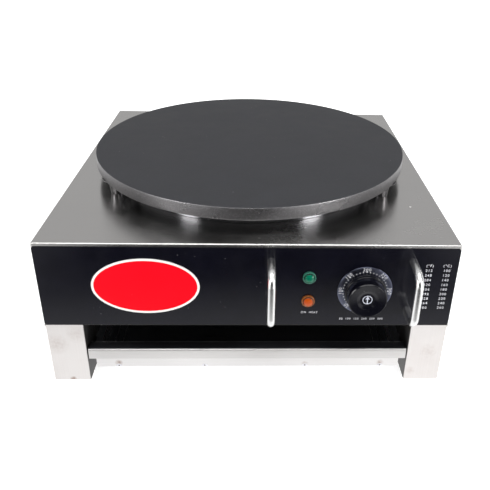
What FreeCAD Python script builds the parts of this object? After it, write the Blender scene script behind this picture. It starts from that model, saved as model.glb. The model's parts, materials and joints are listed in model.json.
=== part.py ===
import FreeCAD, Part
import math
import operator
import os

import Sketcher

# Electric crepe maker: a cast round griddle on a square stainless body with four legs,
# a knob thermostat on the front and a tray that slides out between the legs.
# The origin is on the floor below the middle of the whole object; +Y runs to the back, +Z up.
# All sizes are in millimetres, angles in degrees.

SIZES = {
    # Stainless body
    "body_width": 450.0,
    "body_depth": 450.0,
    "body_height": 103.8,
    "sheet": 1.2,
    "bend_radius": 2.0,
    "inturn": 10.0,
    "sheet_screw_radius": 1.5,
    "sheet_screw_head": 3.5,
    "sheet_screw_rise": 2.0,
    "sheet_screw_length": 6.0,
    "side_screw_pitch": 120.0,
    "rear_screw_pitch": 200.0,
    "thread_play": 0.05,
    "hole_play": 0.3,
    # Black front overlay and plain badge
    "overlay_side_margin": 1.0,
    "overlay_top_margin": 3.9,
    "overlay_lift": 1.5,
    "overlay_thickness": 0.8,
    "overlay_corner": 2.6,
    "badge_width": 115.0,
    "badge_height": 69.0,
    "badge_thickness": 0.8,
    "badge_from_side": 114.5,
    "badge_lift": 52.0,
    # Legs
    "leg_height": 79.0,
    "leg_width": 42.0,
    "leg_inset": 0.6,
    "leg_wall": 1.5,
    "leg_flange": 2.5,
    "leg_corner": 1.5,
    "leg_nut_radius": 8.0,
    "leg_nut_height": 8.5,
    "leg_bolt_radius": 4.0,
    "leg_bolt_head": 7.2,
    "leg_bolt_rise": 5.3,
    "leg_bolt_tip": 2.0,
    # Griddle plate
    "plate_radius": 200.0,
    "plate_setback": -7.8,
    "plate_rise": 33.6,
    "plate_rim": 15.0,
    "plate_thickness": 9.0,
    "plate_rim_width": 24.0,
    "plate_edge": 0.8,
    "plate_boss_radius": 14.0,
    "plate_boss_drop": 6.0,
    "foot_count": 3,
    "foot_shift": 1.0,
    "foot_radius_low": 6.2,
    "foot_radius_high": 8.5,
    "foot_flare": 3.4,
    "foot_bolt_radius": 3.0,
    "foot_bolt_bite": 11.0,
    "foot_bolt_head": 5.8,
    "foot_bolt_rise": 4.0,
    # Heater below the plate
    "drum_gap": 5.0,
    "drum_sheet": 0.8,
    "drum_drop": 32.8,
    "drum_headroom": 4.4,
    "drum_play": 0.8,
    "element_radius": 4.0,
    "element_bend": 14.0,
    "element_seat": 0.05,
    "element_tail": 10.0,
    "outer_turn_inset": 12.0,
    "outer_gap": 9.0,
    "turn_step": 56.0,
    "inner_gap": 14.5,
    "clamp_thickness": 2.0,
    "clamp_inset": 6.0,
    "board_play": 4.2,
    "tail_bay_half": 38.0,
    "tail_bay_depth": 13.0,
    "stud_radius": 4.0,
    "stud_bite": 5.0,
    "stud_tip": 3.0,
    "washer_radius": 12.0,
    "washer_thickness": 1.8,
    "centre_nut_radius": 7.5,
    "centre_nut_height": 6.5,
    "bulb_radius": 2.6,
    "bulb_length": 70.0,
    "capillary_radius": 1.0,
    "capillary_lead": 24.0,
    # Thermostat, dial and knob
    "knob_from_side": 99.5,
    "knob_lift": 47.6,
    "thermostat_width": 38.0,
    "thermostat_depth": 34.0,
    "thermostat_screw_reach": 14.0,
    "thermostat_screw_radius": 2.0,
    "thermostat_screw_head": 3.5,
    "thermostat_screw_rise": 2.2,
    "thermostat_screw_bite": 7.0,
    "shaft_radius": 3.0,
    "shaft_play": 0.05,
    "shaft_hole": 5.0,
    "shaft_bite": 12.0,
    "shaft_flat": 0.9,
    "dial_radius": 30.0,
    "dial_hole_radius": 20.0,
    "dial_thickness": 1.5,
    "dial_edge": 0.6,
    "knob_gap": 0.6,
    "knob_reach": 21.0,
    "knob_skirt_radius": 23.0,
    "knob_skirt_height": 4.4,
    "knob_grip_radius": 21.0,
    "knob_top_radius": 20.3,
    "knob_edge": 1.0,
    "knob_dish_radius": 18.6,
    "knob_dish_depth": 2.4,
    "knob_slope_radius": 11.5,
    "knob_slope_depth": 1.3,
    "knob_floor_radius": 8.0,
    "knob_wall": 2.2,
    "knob_boss_radius": 6.5,
    "pointer_radius": 5.8,
    "pointer_line": 1.0,
    "pointer_bar": 1.5,
    "pointer_head": 2.7,
    "pointer_height": 0.4,
    # Pilot lamps
    "lamp_from_side": 160.8,
    "lamp_high_lift": 64.2,
    "lamp_low_lift": 33.9,
    "lens_radius": 7.2,
    "lens_rim": 1.6,
    "lens_rise": 4.6,
    "lamp_radius": 5.8,
    "lamp_depth": 20.0,
    "lamp_nut_radius": 9.0,
    "lamp_nut_height": 3.0,
    "tab_width": 5.0,
    "tab_thickness": 0.8,
    "tab_length": 8.0,
    # Guard handles
    "guard_left_from_side": 202.0,
    "guard_right_from_side": 50.8,
    "guard_high_lift": 84.0,
    "guard_low_lift": 22.5,
    "guard_radius": 4.4,
    "guard_reach": 33.0,
    "guard_bend": 13.0,
    "guard_screw_radius": 2.0,
    "guard_screw_head": 3.6,
    "guard_screw_rise": 2.4,
    "guard_screw_bite": 8.0,
    # Tray between the legs
    "tray_rear_gap": 44.8,
    "tray_lift": 19.0,
    "tray_wall_height": 13.4,
    "tray_sheet": 1.0,
    "tray_flange_play": 1.5,
    "tray_bead_width": 3.0,
    "tray_bead_rise": 0.8,
    "tray_bead_outer_inset": 10.0,
    "tray_bead_inner_inset": 19.5,
    "tray_bead_margin": 12.0,
    "lip_lift": 31.2,
    "lip_height": 13.6,
    "lip_depth": 15.0,
    "lip_return": 4.0,
    "lip_sheet": 1.2,
    "runner_play": 0.3,
    "runner_side_play": 0.5,
    "runner_width": 8.5,
    "runner_height": 12.1,
    "runner_wall": 1.5,
    "runner_setback": 20.0,
    "stop_bar_depth": 12.0,
    # Back of the body and the wiring
    "vent_count": 7,
    "vent_pitch": 12.0,
    "vent_width": 4.0,
    "vent_height": 26.0,
    "vent_lift": 56.0,
    "vent_bank_reach": 75.0,
    "floor_vent_count": 8,
    "floor_vent_pitch": 26.0,
    "floor_vent_width": 5.0,
    "floor_vent_length": 70.0,
    "floor_vent_reach": 90.0,
    "gland_from_side": 75.0,
    "gland_lift": 31.0,
    "gland_reach": 22.0,
    "gland_collar_radius": 13.0,
    "gland_collar_height": 6.0,
    "gland_thread_radius": 8.0,
    "gland_thread_inner": 10.0,
    "gland_nose_radius": 9.0,
    "gland_nose_height": 7.0,
    "gland_bore": 6.5,
    "gland_nut_height": 5.0,
    "seal_bore": 5.0,
    "seal_start": 1.0,
    "dome_gap": 1.0,
    "dome_radius": 12.0,
    "dome_tip_radius": 9.0,
    "dome_mouth": 6.0,
    "cutout_from_side": 75.0,
    "cutout_lift": 51.0,
    "cutout_radius": 14.0,
    "cutout_depth": 18.0,
    "cutout_neck_radius": 5.0,
    "cutout_neck_height": 8.0,
    "cutout_nut_radius": 8.5,
    "cutout_nut_height": 3.0,
    "button_radius": 3.0,
    "button_play": 0.3,
    "button_rise": 2.5,
    "button_travel": 2.0,
    "button_length": 14.0,
    "earth_from_side": 115.0,
    "earth_lift": 21.0,
    "earth_radius": 3.0,
    "earth_rise": 14.0,
    "earth_tail": 8.0,
    "earth_nut_radius": 5.8,
    "earth_nut_height": 4.0,
    "terminal_width": 62.0,
    "terminal_depth": 22.0,
    "terminal_height": 20.0,
    "terminal_from_side": 155.0,
    "terminal_from_rear": 48.0,
    "pole_radius": 3.2,
    "pole_pitch": 20.0,
    "pole_depth": 6.0,
    "wire_radius": 1.5,
    "wire_floor": 12.0,
    "wire_lead": 40.0,
    "wire_lift": 10.0,
    "wire_pitch": 10.0,
}

TOWARD_FRONT = FreeCAD.Vector(0, -1, 0)
UPWARD = FreeCAD.Vector(0, 0, 1)
UP = FreeCAD.Rotation()
BACK = FreeCAD.Rotation(FreeCAD.Vector(1, 0, 0), -90)
FRONT = FreeCAD.Rotation(FreeCAD.Vector(1, 0, 0), 90)

# A cutting tool runs this far past the face it opens.
OVERRUN = 2.0

OPERATIONS = {"+": operator.add, "-": operator.sub, "*": operator.mul, "/": operator.truediv}


class Size:
    """A number together with the expression that ties it to the sheet."""

    def __init__(self, value, text):
        self.value = value
        self.text = text

    def __add__(self, other):
        return combined(self, "+", other)

    def __radd__(self, other):
        return combined(other, "+", self)

    def __sub__(self, other):
        return combined(self, "-", other)

    def __rsub__(self, other):
        return combined(other, "-", self)

    def __mul__(self, other):
        return combined(self, "*", other)

    def __rmul__(self, other):
        return combined(other, "*", self)

    def __truediv__(self, other):
        return combined(self, "/", other)

    def __neg__(self):
        return combined(0, "-", self)


def as_size(number):
    """Give a plain number the same form as a size from the sheet."""
    if isinstance(number, Size):
        return number
    return Size(float(number), f"({float(number)})")


def combined(left, sign, right):
    """Work out left and right together, as a value and as an expression."""
    left = as_size(left)
    right = as_size(right)
    value = OPERATIONS[sign](left.value, right.value)
    return Size(value, f"({left.text} {sign} {right.text})")


def cosine(angle):
    """Cosine of an angle in degrees."""
    angle = as_size(angle)
    return Size(math.cos(math.radians(angle.value)), f"cos({angle.text} * 1 deg)")


def sine(angle):
    """Sine of an angle in degrees."""
    angle = as_size(angle)
    return Size(math.sin(math.radians(angle.value)), f"sin({angle.text} * 1 deg)")


class SizeTable:
    """The sheet of driving dimensions, read by name."""

    def __init__(self, document):
        self.cells = document.addObject("Spreadsheet::Sheet", "Sizes")
        for row, (alias, value) in enumerate(SIZES.items(), start=1):
            self.cells.set(f"A{row}", alias.replace("_", " "))
            self.cells.set(f"B{row}", str(value))
            self.cells.setAlias(f"B{row}", alias)
        document.recompute()

    def __getattr__(self, alias):
        return Size(float(self.cells.get(alias)), f"Sizes.{alias}")


doc = FreeCAD.newDocument("crepe_maker")
s = SizeTable(doc)
nodes = []

# Levels and faces that many pieces share
base_z = s.leg_height
floor_z = base_z + s.sheet
top_z = base_z + s.body_height
middle_y = (s.overlay_thickness + s.guard_reach + s.guard_radius - s.gland_reach) / 2
front_y = middle_y - s.body_depth / 2
rear_y = middle_y + s.body_depth / 2
face_y = front_y - s.overlay_thickness
inner_front_y = front_y + s.sheet
inner_rear_y = rear_y - s.sheet
side_x = s.body_width / 2
leg_inner_x = side_x - s.leg_width
lamp_x = side_x - s.lamp_from_side
guard_left_x = side_x - s.guard_left_from_side
guard_right_x = side_x - s.guard_right_from_side
cutout_x = side_x - s.cutout_from_side
terminal_x = s.terminal_from_side - side_x

plate_y = middle_y + s.plate_setback
plate_top_z = top_z + s.plate_rise
rim_z = plate_top_z - s.plate_rim
plate_under_z = plate_top_z - s.plate_thickness
boss_z = plate_under_z - s.plate_boss_drop
drum_floor_z = top_z - s.drum_drop
element_z = plate_under_z - s.element_seat - s.element_radius
clamp_top_z = element_z - s.element_radius - s.element_seat
clamp_low_z = clamp_top_z - s.clamp_thickness
element_low_z = drum_floor_z - s.element_tail
recess_radius = s.plate_radius - s.plate_rim_width
foot_circle = (s.plate_radius + recess_radius) / 2 - s.foot_shift
drum_radius = recess_radius - s.drum_gap
board_radius = drum_radius - s.drum_sheet - s.board_play
clamp_radius = board_radius - s.clamp_inset
outer_turn = clamp_radius - s.outer_turn_inset
inner_turn = outer_turn - s.turn_step

knob_x = side_x - s.knob_from_side
knob_z = base_z + s.knob_lift
dish_y = face_y - s.knob_reach + s.knob_dish_depth
thermostat_rear_y = inner_front_y + s.thermostat_depth
tray_top_z = s.tray_lift + s.tray_wall_height
lip_top_z = s.lip_lift + s.lip_height
tray_front_y = front_y + s.lip_sheet
tray_rear_y = rear_y - s.tray_rear_gap
tray_length = tray_rear_y - tray_front_y
runner_inner_x = leg_inner_x - s.runner_width
tray_half = runner_inner_x - s.runner_side_play
flange_half = leg_inner_x - s.tray_flange_play


def vector(spot):
    """Plain vector of a spot given as three sizes."""
    return FreeCAD.Vector(*[as_size(length).value for length in spot])


def tie(thing, path, length):
    """Bind a property to the sheet by expression."""
    thing.setExpression(path, as_size(length).text)


def put(thing, spot, turn=UP):
    """Place an object, with its base point bound to the sheet."""
    thing.Placement = FreeCAD.Placement(vector(spot), turn)
    for axis, length in zip("xyz", spot):
        tie(thing, f".Placement.Base.{axis}", length)
    return thing


def block(name, corner, extent):
    """Rectangular block from its low corner and its three lengths."""
    box = doc.addObject("Part::Box", name)
    for side, length in zip(("Length", "Width", "Height"), extent):
        tie(box, side, length)
    return put(box, corner)


def rod(name, start, radius, length, turn=UP):
    """Round bar from the centre of its first face."""
    bar = doc.addObject("Part::Cylinder", name)
    tie(bar, "Radius", radius)
    tie(bar, "Height", length)
    return put(bar, start, turn)


def hexagon(name, start, corner_radius, length, turn=UP):
    """Six-sided bar from the centre of its first face."""
    bar = doc.addObject("Part::Prism", name)
    bar.Polygon = 6
    tie(bar, "Circumradius", corner_radius)
    tie(bar, "Height", length)
    return put(bar, start, turn)


def joined(name, shapes):
    """One solid from several that touch or overlap."""
    whole = doc.addObject("Part::MultiFuse", name)
    whole.Shapes = shapes
    whole.Refine = True
    return whole


def cut_away(name, base, tools):
    """A solid with one or more tools taken out of it."""
    tool = tools[0] if len(tools) == 1 else joined(f"{name}_tools", tools)
    left = doc.addObject("Part::Cut", name)
    left.Base = base
    left.Tool = tool
    left.Refine = True
    return left


def grouped(name, solids):
    """Separate solids that share one node."""
    group = doc.addObject("Part::Compound", name)
    group.Links = solids
    return group


def rounded(name, base, radius, wanted):
    """Round the edges of a solid that the test picks."""
    doc.recompute()
    fillet = doc.addObject("Part::Fillet", name)
    fillet.Base = base
    numbers = [number for number, edge in enumerate(base.Shape.Edges, start=1) if wanted(edge)]
    fillet.Edges = [(number, radius.value, radius.value) for number in numbers]
    return fillet


def runs_along(edge, axis):
    """Tell whether an edge is straight along X, Y or Z (axis 0, 1 or 2)."""
    first, last = [vertex.Point for vertex in edge.Vertexes[:2]] if len(edge.Vertexes) > 1 else (None, None)
    if first is None:
        return False
    return all(abs(first[other] - last[other]) < 1e-6 for other in range(3) if other != axis)


def at_level(edge, height):
    """Tell whether an edge lies at one height."""
    return all(abs(vertex.Point.z - height.value) < 1e-6 for vertex in edge.Vertexes)


def origin_plane(body, role):
    """One of a body's own origin planes, by its role."""
    return [feature for feature in body.Origin.OriginFeatures if feature.Role == role][0]


def pin_corner(sketch, kind, index, length):
    """Hold one coordinate of a corner at its size."""
    length = as_size(length)
    if length.value == 0:
        axis = -2 if kind == "DistanceX" else -1
        sketch.addConstraint(Sketcher.Constraint("PointOnObject", index, 1, axis))
        return
    row = sketch.addConstraint(Sketcher.Constraint(kind, -1, 1, index, 1, length.value))
    sketch.setExpression(f"Constraints[{row}]", length.text)


def outline(body, name, role, corners):
    """Closed sketch through corners, each held by two bound constraints."""
    sketch = body.newObject("Sketcher::SketchObject", name)
    sketch.AttachmentSupport = (origin_plane(body, role), [""])
    sketch.MapMode = "FlatFace"
    spots = [vector((across, up, 0)) for across, up in corners]
    for index, spot in enumerate(spots):
        following = spots[(index + 1) % len(spots)]
        sketch.addGeometry(Part.LineSegment(spot, following), False)
    for index in range(len(spots)):
        following = (index + 1) % len(spots)
        sketch.addConstraint(Sketcher.Constraint("Coincident", index, 2, following, 1))
    for index, (across, up) in enumerate(corners):
        pin_corner(sketch, "DistanceX", index, across)
        pin_corner(sketch, "DistanceY", index, up)
    return sketch


def turned(name, corners, spot=(0, 0, 0), turn=UP):
    """Solid of revolution; corners are radius and height along its axis."""
    body = doc.addObject("PartDesign::Body", name)
    sketch = outline(body, f"{name}_profile", "XZ_Plane", corners)
    spin = body.newObject("PartDesign::Revolution", f"{name}_turn")
    spin.Profile = sketch
    spin.ReferenceAxis = (sketch, ["V_Axis"])
    spin.Angle = 360.0
    body.Tip = spin
    return put(body, spot, turn)


def folded(name, corners, left, width):
    """Sheet section drawn in Y and Z and run along X from its left end."""
    body = doc.addObject("PartDesign::Body", name)
    sketch = outline(body, f"{name}_section", "YZ_Plane", corners)
    pad = body.newObject("PartDesign::Pad", f"{name}_run")
    pad.Profile = sketch
    tie(pad, "Length", width)
    body.Tip = pad
    return put(body, (left, 0, 0))


def drawn(name, shape):
    """A swept solid, whose shape is worked out along its route."""
    feature = doc.addObject("Part::Feature", name)
    feature.Shape = shape
    feature.Placement = FreeCAD.Placement()
    return feature


def node(part):
    """Keep a finished piece as a node, named by its label."""
    part.Label = part.Name
    nodes.append(part)
    return part


def slot(name, corner, width, length, depth, upright):
    """Slot tool with round ends, standing in a rear wall or lying in a floor."""
    x, y, z = corner
    if upright:
        body = block(f"{name}_body", (x - width / 2, y, z), (width, depth, length))
        ends = [rod(f"{name}_end_{tip}", (x, y, level), width / 2, depth, BACK)
                for tip, level in enumerate((z, z + length))]
    else:
        body = block(f"{name}_body", (x - width / 2, y, z), (width, length, depth))
        ends = [rod(f"{name}_end_{tip}", (x, reach, z), width / 2, depth)
                for tip, reach in enumerate((y, y + length))]
    return [body] + ends


def front_holes():
    """Holes that the front wall and its overlay share."""
    start_y = face_y - OVERRUN
    depth = s.overlay_thickness + s.sheet + 2 * OVERRUN
    holes = [rod("shaft_way", (knob_x, start_y, knob_z), s.shaft_hole, depth, BACK)]
    for side in (-1, 1):
        spot = (knob_x + side * s.thermostat_screw_reach, start_y, knob_z)
        radius = s.thermostat_screw_radius + s.hole_play
        holes.append(rod(f"thermostat_screw_way_{side + 1}", spot, radius, depth, BACK))
    for tier, lift in enumerate((s.lamp_high_lift, s.lamp_low_lift)):
        spot = (lamp_x, start_y, base_z + lift)
        holes.append(rod(f"lamp_way_{tier}", spot, s.lamp_radius + s.hole_play, depth, BACK))
    for number, (right, lift) in enumerate(guard_ends()):
        spot = (right, start_y, base_z + lift)
        radius = s.guard_screw_radius + s.hole_play
        holes.append(rod(f"guard_way_{number}", spot, radius, depth, BACK))
    return joined("front_holes", holes)


def guard_ends():
    """Where the four handle ends meet the panel: place across and height."""
    lifts = (s.guard_high_lift, s.guard_low_lift)
    return [(x, lift) for x in (guard_left_x, guard_right_x) for lift in lifts]


def foot_spots():
    """Centre of each cast foot of the plate, seen from above."""
    count = int(s.foot_count.value)
    angles = [90.0 + 360.0 * number / count for number in range(count)]
    return [(foot_circle * cosine(angle), plate_y + foot_circle * sine(angle)) for angle in angles]


def leg_centres():
    """Name and centre of each leg, with its side and end as signs."""
    corners = []
    for end, end_sign in (("front", -1), ("rear", 1)):
        for side, side_sign in (("left", -1), ("right", 1)):
            x = side_sign * (side_x - s.leg_width / 2)
            y = middle_y + end_sign * (s.body_depth / 2 - s.leg_width / 2)
            corners.append((f"leg_{end}_{side}", x, y, side_sign, end_sign))
    return corners


def sheet_screw_spots():
    """Centres of the screws that hold the floor sheet to the inturned flange."""
    inset = s.sheet + s.inturn / 2
    spots = []
    for side in (-1, 1):
        for step in (-1, 0, 1):
            spots.append((side * (side_x - inset), middle_y + step * s.side_screw_pitch))
    for side in (-1, 1):
        spots.append((side * s.rear_screw_pitch / 2, rear_y - inset))
    return spots


def screw_holes(name, radius, z, depth):
    """Tools for the sheet screw holes."""
    return [rod(f"{name}_{number}", (x, y, z), radius, depth)
            for number, (x, y) in enumerate(sheet_screw_spots())]


def rear_openings():
    """Vent slots and round holes in the rear wall."""
    start_y = inner_rear_y - OVERRUN
    depth = s.sheet + 2 * OVERRUN
    tools = []
    count = int(s.vent_count.value)
    for bank in (-1, 1):
        for number in range(count):
            x = bank * s.vent_bank_reach + s.vent_pitch * (number - (count - 1) / 2)
            corner = (x, start_y, base_z + s.vent_lift)
            tools += slot(f"vent_{bank + 1}_{number}", corner, s.vent_width, s.vent_height, depth, True)
    round_holes = (
        ("gland_way", s.gland_from_side - side_x, s.gland_lift, s.gland_thread_radius + s.hole_play),
        ("cutout_way", cutout_x, s.cutout_lift, s.cutout_neck_radius + s.hole_play),
        ("earth_way", side_x - s.earth_from_side, s.earth_lift, s.earth_radius + s.hole_play),
    )
    for name, x, lift, radius in round_holes:
        tools.append(rod(name, (x, start_y, base_z + lift), radius, depth, BACK))
    return tools


def make_housing(panel_holes):
    """One-piece stainless shell: top, four walls and an inturned flange along the bottom."""
    wall_height = s.body_height - s.sheet
    outer = block("housing_outer", (-side_x, front_y, floor_z), (s.body_width, s.body_depth, wall_height))
    bent = rounded("housing_bent", outer, s.bend_radius,
                   lambda edge: runs_along(edge, 2) or at_level(edge, top_z))
    room = block("housing_room", (-side_x + s.sheet, inner_front_y, floor_z + s.sheet),
                 (s.body_width - 2 * s.sheet, s.body_depth - 2 * s.sheet, wall_height - 2 * s.sheet))
    rim = s.sheet + s.inturn
    mouth = block("housing_mouth", (-side_x + rim, front_y + rim, floor_z - OVERRUN),
                  (s.body_width - 2 * rim, s.body_depth - 2 * rim, s.sheet + 2 * OVERRUN))
    drum_way = rod("housing_drum_way", (0, plate_y, top_z - s.sheet - OVERRUN),
                   drum_radius + s.drum_play, s.sheet + 2 * OVERRUN)
    foot_ways = [rod(f"housing_foot_way_{number}", (x, y, top_z - s.sheet - OVERRUN),
                     s.foot_bolt_radius + s.hole_play, s.sheet + 2 * OVERRUN)
                 for number, (x, y) in enumerate(foot_spots())]
    screws = screw_holes("housing_screw_way", s.sheet_screw_radius + s.thread_play,
                         floor_z - OVERRUN, s.sheet + 2 * OVERRUN)
    tools = [room, mouth, drum_way, panel_holes] + foot_ways + screws + rear_openings()
    node(cut_away("housing", bent, tools))


def make_front_overlay(panel_holes):
    """Black panel on the front wall, with the same holes."""
    left = s.overlay_side_margin - side_x
    plain = block("overlay_plain", (left, face_y, base_z + s.overlay_lift),
                  (-2 * left, s.overlay_thickness, s.body_height - s.overlay_lift - s.overlay_top_margin))
    cornered = rounded("overlay_cornered", plain, s.overlay_corner, lambda edge: runs_along(edge, 1))
    node(cut_away("front_overlay", cornered, [panel_holes]))


def make_badge_plate():
    """Plain oval red plate at the left of the panel."""
    oval = doc.addObject("Part::Ellipse", "badge_outline")
    tie(oval, "MajorRadius", s.badge_width / 2)
    tie(oval, "MinorRadius", s.badge_height / 2)
    put(oval, (s.badge_from_side - side_x, face_y, base_z + s.badge_lift), BACK)
    plate = doc.addObject("Part::Extrusion", "badge_plate")
    plate.Base = oval
    plate.DirMode = "Custom"
    plate.Dir = FreeCAD.Vector(0, -1, 0)
    plate.Solid = True
    tie(plate, "LengthFwd", s.badge_thickness)
    node(plate)


def make_base_pan():
    """Flat floor sheet with vent slots and the holes of the legs and screws."""
    plain = block("base_plain", (-side_x, front_y, base_z), (s.body_width, s.body_depth, s.sheet))
    cornered = rounded("base_cornered", plain, s.bend_radius, lambda edge: runs_along(edge, 2))
    below = base_z - OVERRUN
    depth = s.sheet + 2 * OVERRUN
    tools = screw_holes("base_screw_way", s.sheet_screw_radius + s.hole_play, below, depth)
    for name, x, y, _side, _end in leg_centres():
        tools.append(rod(f"base_{name}_way", (x, y, below), s.leg_bolt_radius + s.hole_play, depth))
    count = int(s.floor_vent_count.value)
    for bank in (-1, 1):
        for number in range(count):
            x = s.floor_vent_pitch * (number - (count - 1) / 2)
            y = middle_y + bank * s.floor_vent_reach - s.floor_vent_length / 2
            tools += slot(f"floor_vent_{bank + 1}_{number}", (x, y, below), s.floor_vent_width,
                          s.floor_vent_length, depth, False)
    node(cut_away("base_pan", cornered, tools))


def make_base_screws():
    """Pan-head screws from below into the inturned flange."""
    screws = []
    for number, (x, y) in enumerate(sheet_screw_spots()):
        head = rod(f"base_screw_head_{number}", (x, y, base_z - s.sheet_screw_rise),
                   s.sheet_screw_head, s.sheet_screw_rise)
        shank = rod(f"base_screw_shank_{number}", (x, y, base_z - s.sheet_screw_rise),
                    s.sheet_screw_radius, s.sheet_screw_rise + s.sheet_screw_length)
        screws.append(joined(f"base_screw_{number}", [head, shank]))
    node(grouped("base_screws", screws))


def make_legs():
    """Four square tube legs with a closed foot, a top flange and a nut welded below it."""
    bolts = []
    half = s.leg_width / 2
    for name, x, y, side, end in leg_centres():
        tube_side = s.leg_width - s.leg_inset
        tube_x = x - side * s.leg_inset / 2
        tube_y = y - end * s.leg_inset / 2
        flange_z = s.leg_height - s.leg_flange
        tube = block(f"{name}_tube", (tube_x - tube_side / 2, tube_y - tube_side / 2, 0),
                     (tube_side, tube_side, flange_z))
        soft = rounded(f"{name}_soft", tube, s.leg_corner, lambda edge: runs_along(edge, 2))
        inside = tube_side - 2 * s.leg_wall
        hollow = block(f"{name}_hollow", (tube_x - inside / 2, tube_y - inside / 2, s.leg_wall),
                       (inside, inside, flange_z))
        shell = cut_away(f"{name}_shell", soft, [hollow])
        flange = block(f"{name}_flange", (x - half, y - half, flange_z),
                       (s.leg_width, s.leg_width, s.leg_flange))
        nut = rod(f"{name}_nut", (x, y, flange_z - s.leg_nut_height), s.leg_nut_radius, s.leg_nut_height)
        solid = joined(f"{name}_solid", [shell, flange, nut])
        way = rod(f"{name}_way", (x, y, flange_z - s.leg_nut_height - OVERRUN),
                  s.leg_bolt_radius + s.thread_play, s.leg_nut_height + s.leg_flange + 2 * OVERRUN)
        node(cut_away(name, solid, [way]))
        head = hexagon(f"{name}_bolt_head", (x, y, floor_z), s.leg_bolt_head, s.leg_bolt_rise)
        low = flange_z - s.leg_nut_height - s.leg_bolt_tip
        shank = rod(f"{name}_bolt_shank", (x, y, low), s.leg_bolt_radius, floor_z + s.leg_bolt_rise / 2 - low)
        bolts.append(joined(f"{name}_bolt", [head, shank]))
    node(grouped("leg_bolts", bolts))


def make_griddle_plate():
    """Cast plate with a rim, a recessed underside, a centre boss and cast feet."""
    edge = s.plate_edge
    disc = turned("plate_disc", [
        (0, plate_top_z),
        (s.plate_radius - edge, plate_top_z),
        (s.plate_radius, plate_top_z - edge),
        (s.plate_radius, rim_z + edge),
        (s.plate_radius - edge, rim_z),
        (recess_radius, rim_z),
        (recess_radius, plate_under_z),
        (s.plate_boss_radius, plate_under_z),
        (s.plate_boss_radius, boss_z),
        (0, boss_z),
    ], (0, plate_y, 0))
    feet = []
    bores = [rod("plate_stud_bore", (0, plate_y, boss_z - OVERRUN), s.stud_radius + s.thread_play,
                 s.stud_bite + OVERRUN)]
    for number, (x, y) in enumerate(foot_spots()):
        feet.append(turned(f"plate_foot_{number}", [
            (0, top_z),
            (s.foot_radius_low, top_z),
            (s.foot_radius_high - s.foot_flare * 0.1, rim_z - s.foot_flare),
            (s.foot_radius_high + s.foot_flare * 0.25, rim_z - s.foot_flare * 0.3),
            (s.foot_radius_high + s.foot_flare * 0.7, rim_z),
            (s.foot_radius_high, rim_z + s.plate_edge),
            (0, rim_z + s.plate_edge),
        ], (x, y, 0)))
        bores.append(rod(f"plate_foot_bore_{number}", (x, y, top_z - OVERRUN),
                         s.foot_bolt_radius + s.thread_play, s.foot_bolt_bite + 1.0 + OVERRUN))
    cast = joined("plate_cast", [disc] + feet)
    node(cut_away("griddle_plate", cast, bores))


def make_plate_bolts():
    """Bolts from inside the body up into the plate's feet."""
    bolts = []
    head_z = top_z - s.sheet - s.foot_bolt_rise
    for number, (x, y) in enumerate(foot_spots()):
        head = hexagon(f"plate_bolt_head_{number}", (x, y, head_z), s.foot_bolt_head, s.foot_bolt_rise)
        shank = rod(f"plate_bolt_shank_{number}", (x, y, head_z), s.foot_bolt_radius,
                    s.foot_bolt_rise + s.sheet + s.foot_bolt_bite)
        bolts.append(joined(f"plate_bolt_{number}", [head, shank]))
    node(grouped("plate_bolts", bolts))


def element_turns():
    """Name, turn radius and half gap angle of each heating element."""
    return (("heater_outer", outer_turn, s.outer_gap), ("heater_inner", inner_turn, s.inner_gap))


def tail_place(turn, gap):
    """Where an element's right tail goes down, from the plate's centre."""
    x = turn * sine(gap) - s.element_bend * cosine(gap)
    y = turn * cosine(gap) + s.element_bend * sine(gap)
    return x, y


def make_heating_elements():
    """Round tubes, one turn each below the plate, with both tails bent down at the back."""
    bend = s.element_bend.value
    radius = s.element_radius.value
    level = element_z.value
    for name, turn_size, gap_size in element_turns():
        turn = turn_size.value
        gap = math.radians(gap_size.value)
        centre = vector((0, plate_y, element_z))
        tail_x, tail_y = [length.value for length in tail_place(turn_size, gap_size)]
        along = FreeCAD.Vector(math.cos(gap), -math.sin(gap), 0)
        right_end = centre + FreeCAD.Vector(turn * math.sin(gap), turn * math.cos(gap), 0)
        far = centre + FreeCAD.Vector(0, -turn, 0)
        low = element_low_z.value
        right_low = FreeCAD.Vector(tail_x, centre.y + tail_y, low)
        right_high = FreeCAD.Vector(tail_x, centre.y + tail_y, level - bend)
        hub = right_high + along * bend
        knee = hub - along * bend * math.cos(math.pi / 4) + FreeCAD.Vector(0, 0, bend * math.sin(math.pi / 4))
        mirror = lambda spot: FreeCAD.Vector(-spot.x, spot.y, spot.z)
        path = Part.Wire([
            Part.LineSegment(right_low, right_high).toShape(),
            Part.Arc(right_high, knee, right_end).toShape(),
            Part.Arc(right_end, far, mirror(right_end)).toShape(),
            Part.Arc(mirror(right_end), mirror(knee), mirror(right_high)).toShape(),
            Part.LineSegment(mirror(right_high), mirror(right_low)).toShape(),
        ])
        section = Part.Wire([Part.Circle(right_low, FreeCAD.Vector(0, 0, 1), radius).toShape()])
        tube = path.makePipeShell([section], True, False)
        compare_volume(name, tube, radius, path.Length)
        node(drawn(name, tube))


def compare_volume(name, tube, radius, length):
    """Print how a swept tube's volume compares with its section times its length."""
    share = tube.Volume / (math.pi * radius ** 2 * length)
    print(f"{name}: length {length:.1f} mm, volume share {share:.4f}")


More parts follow.
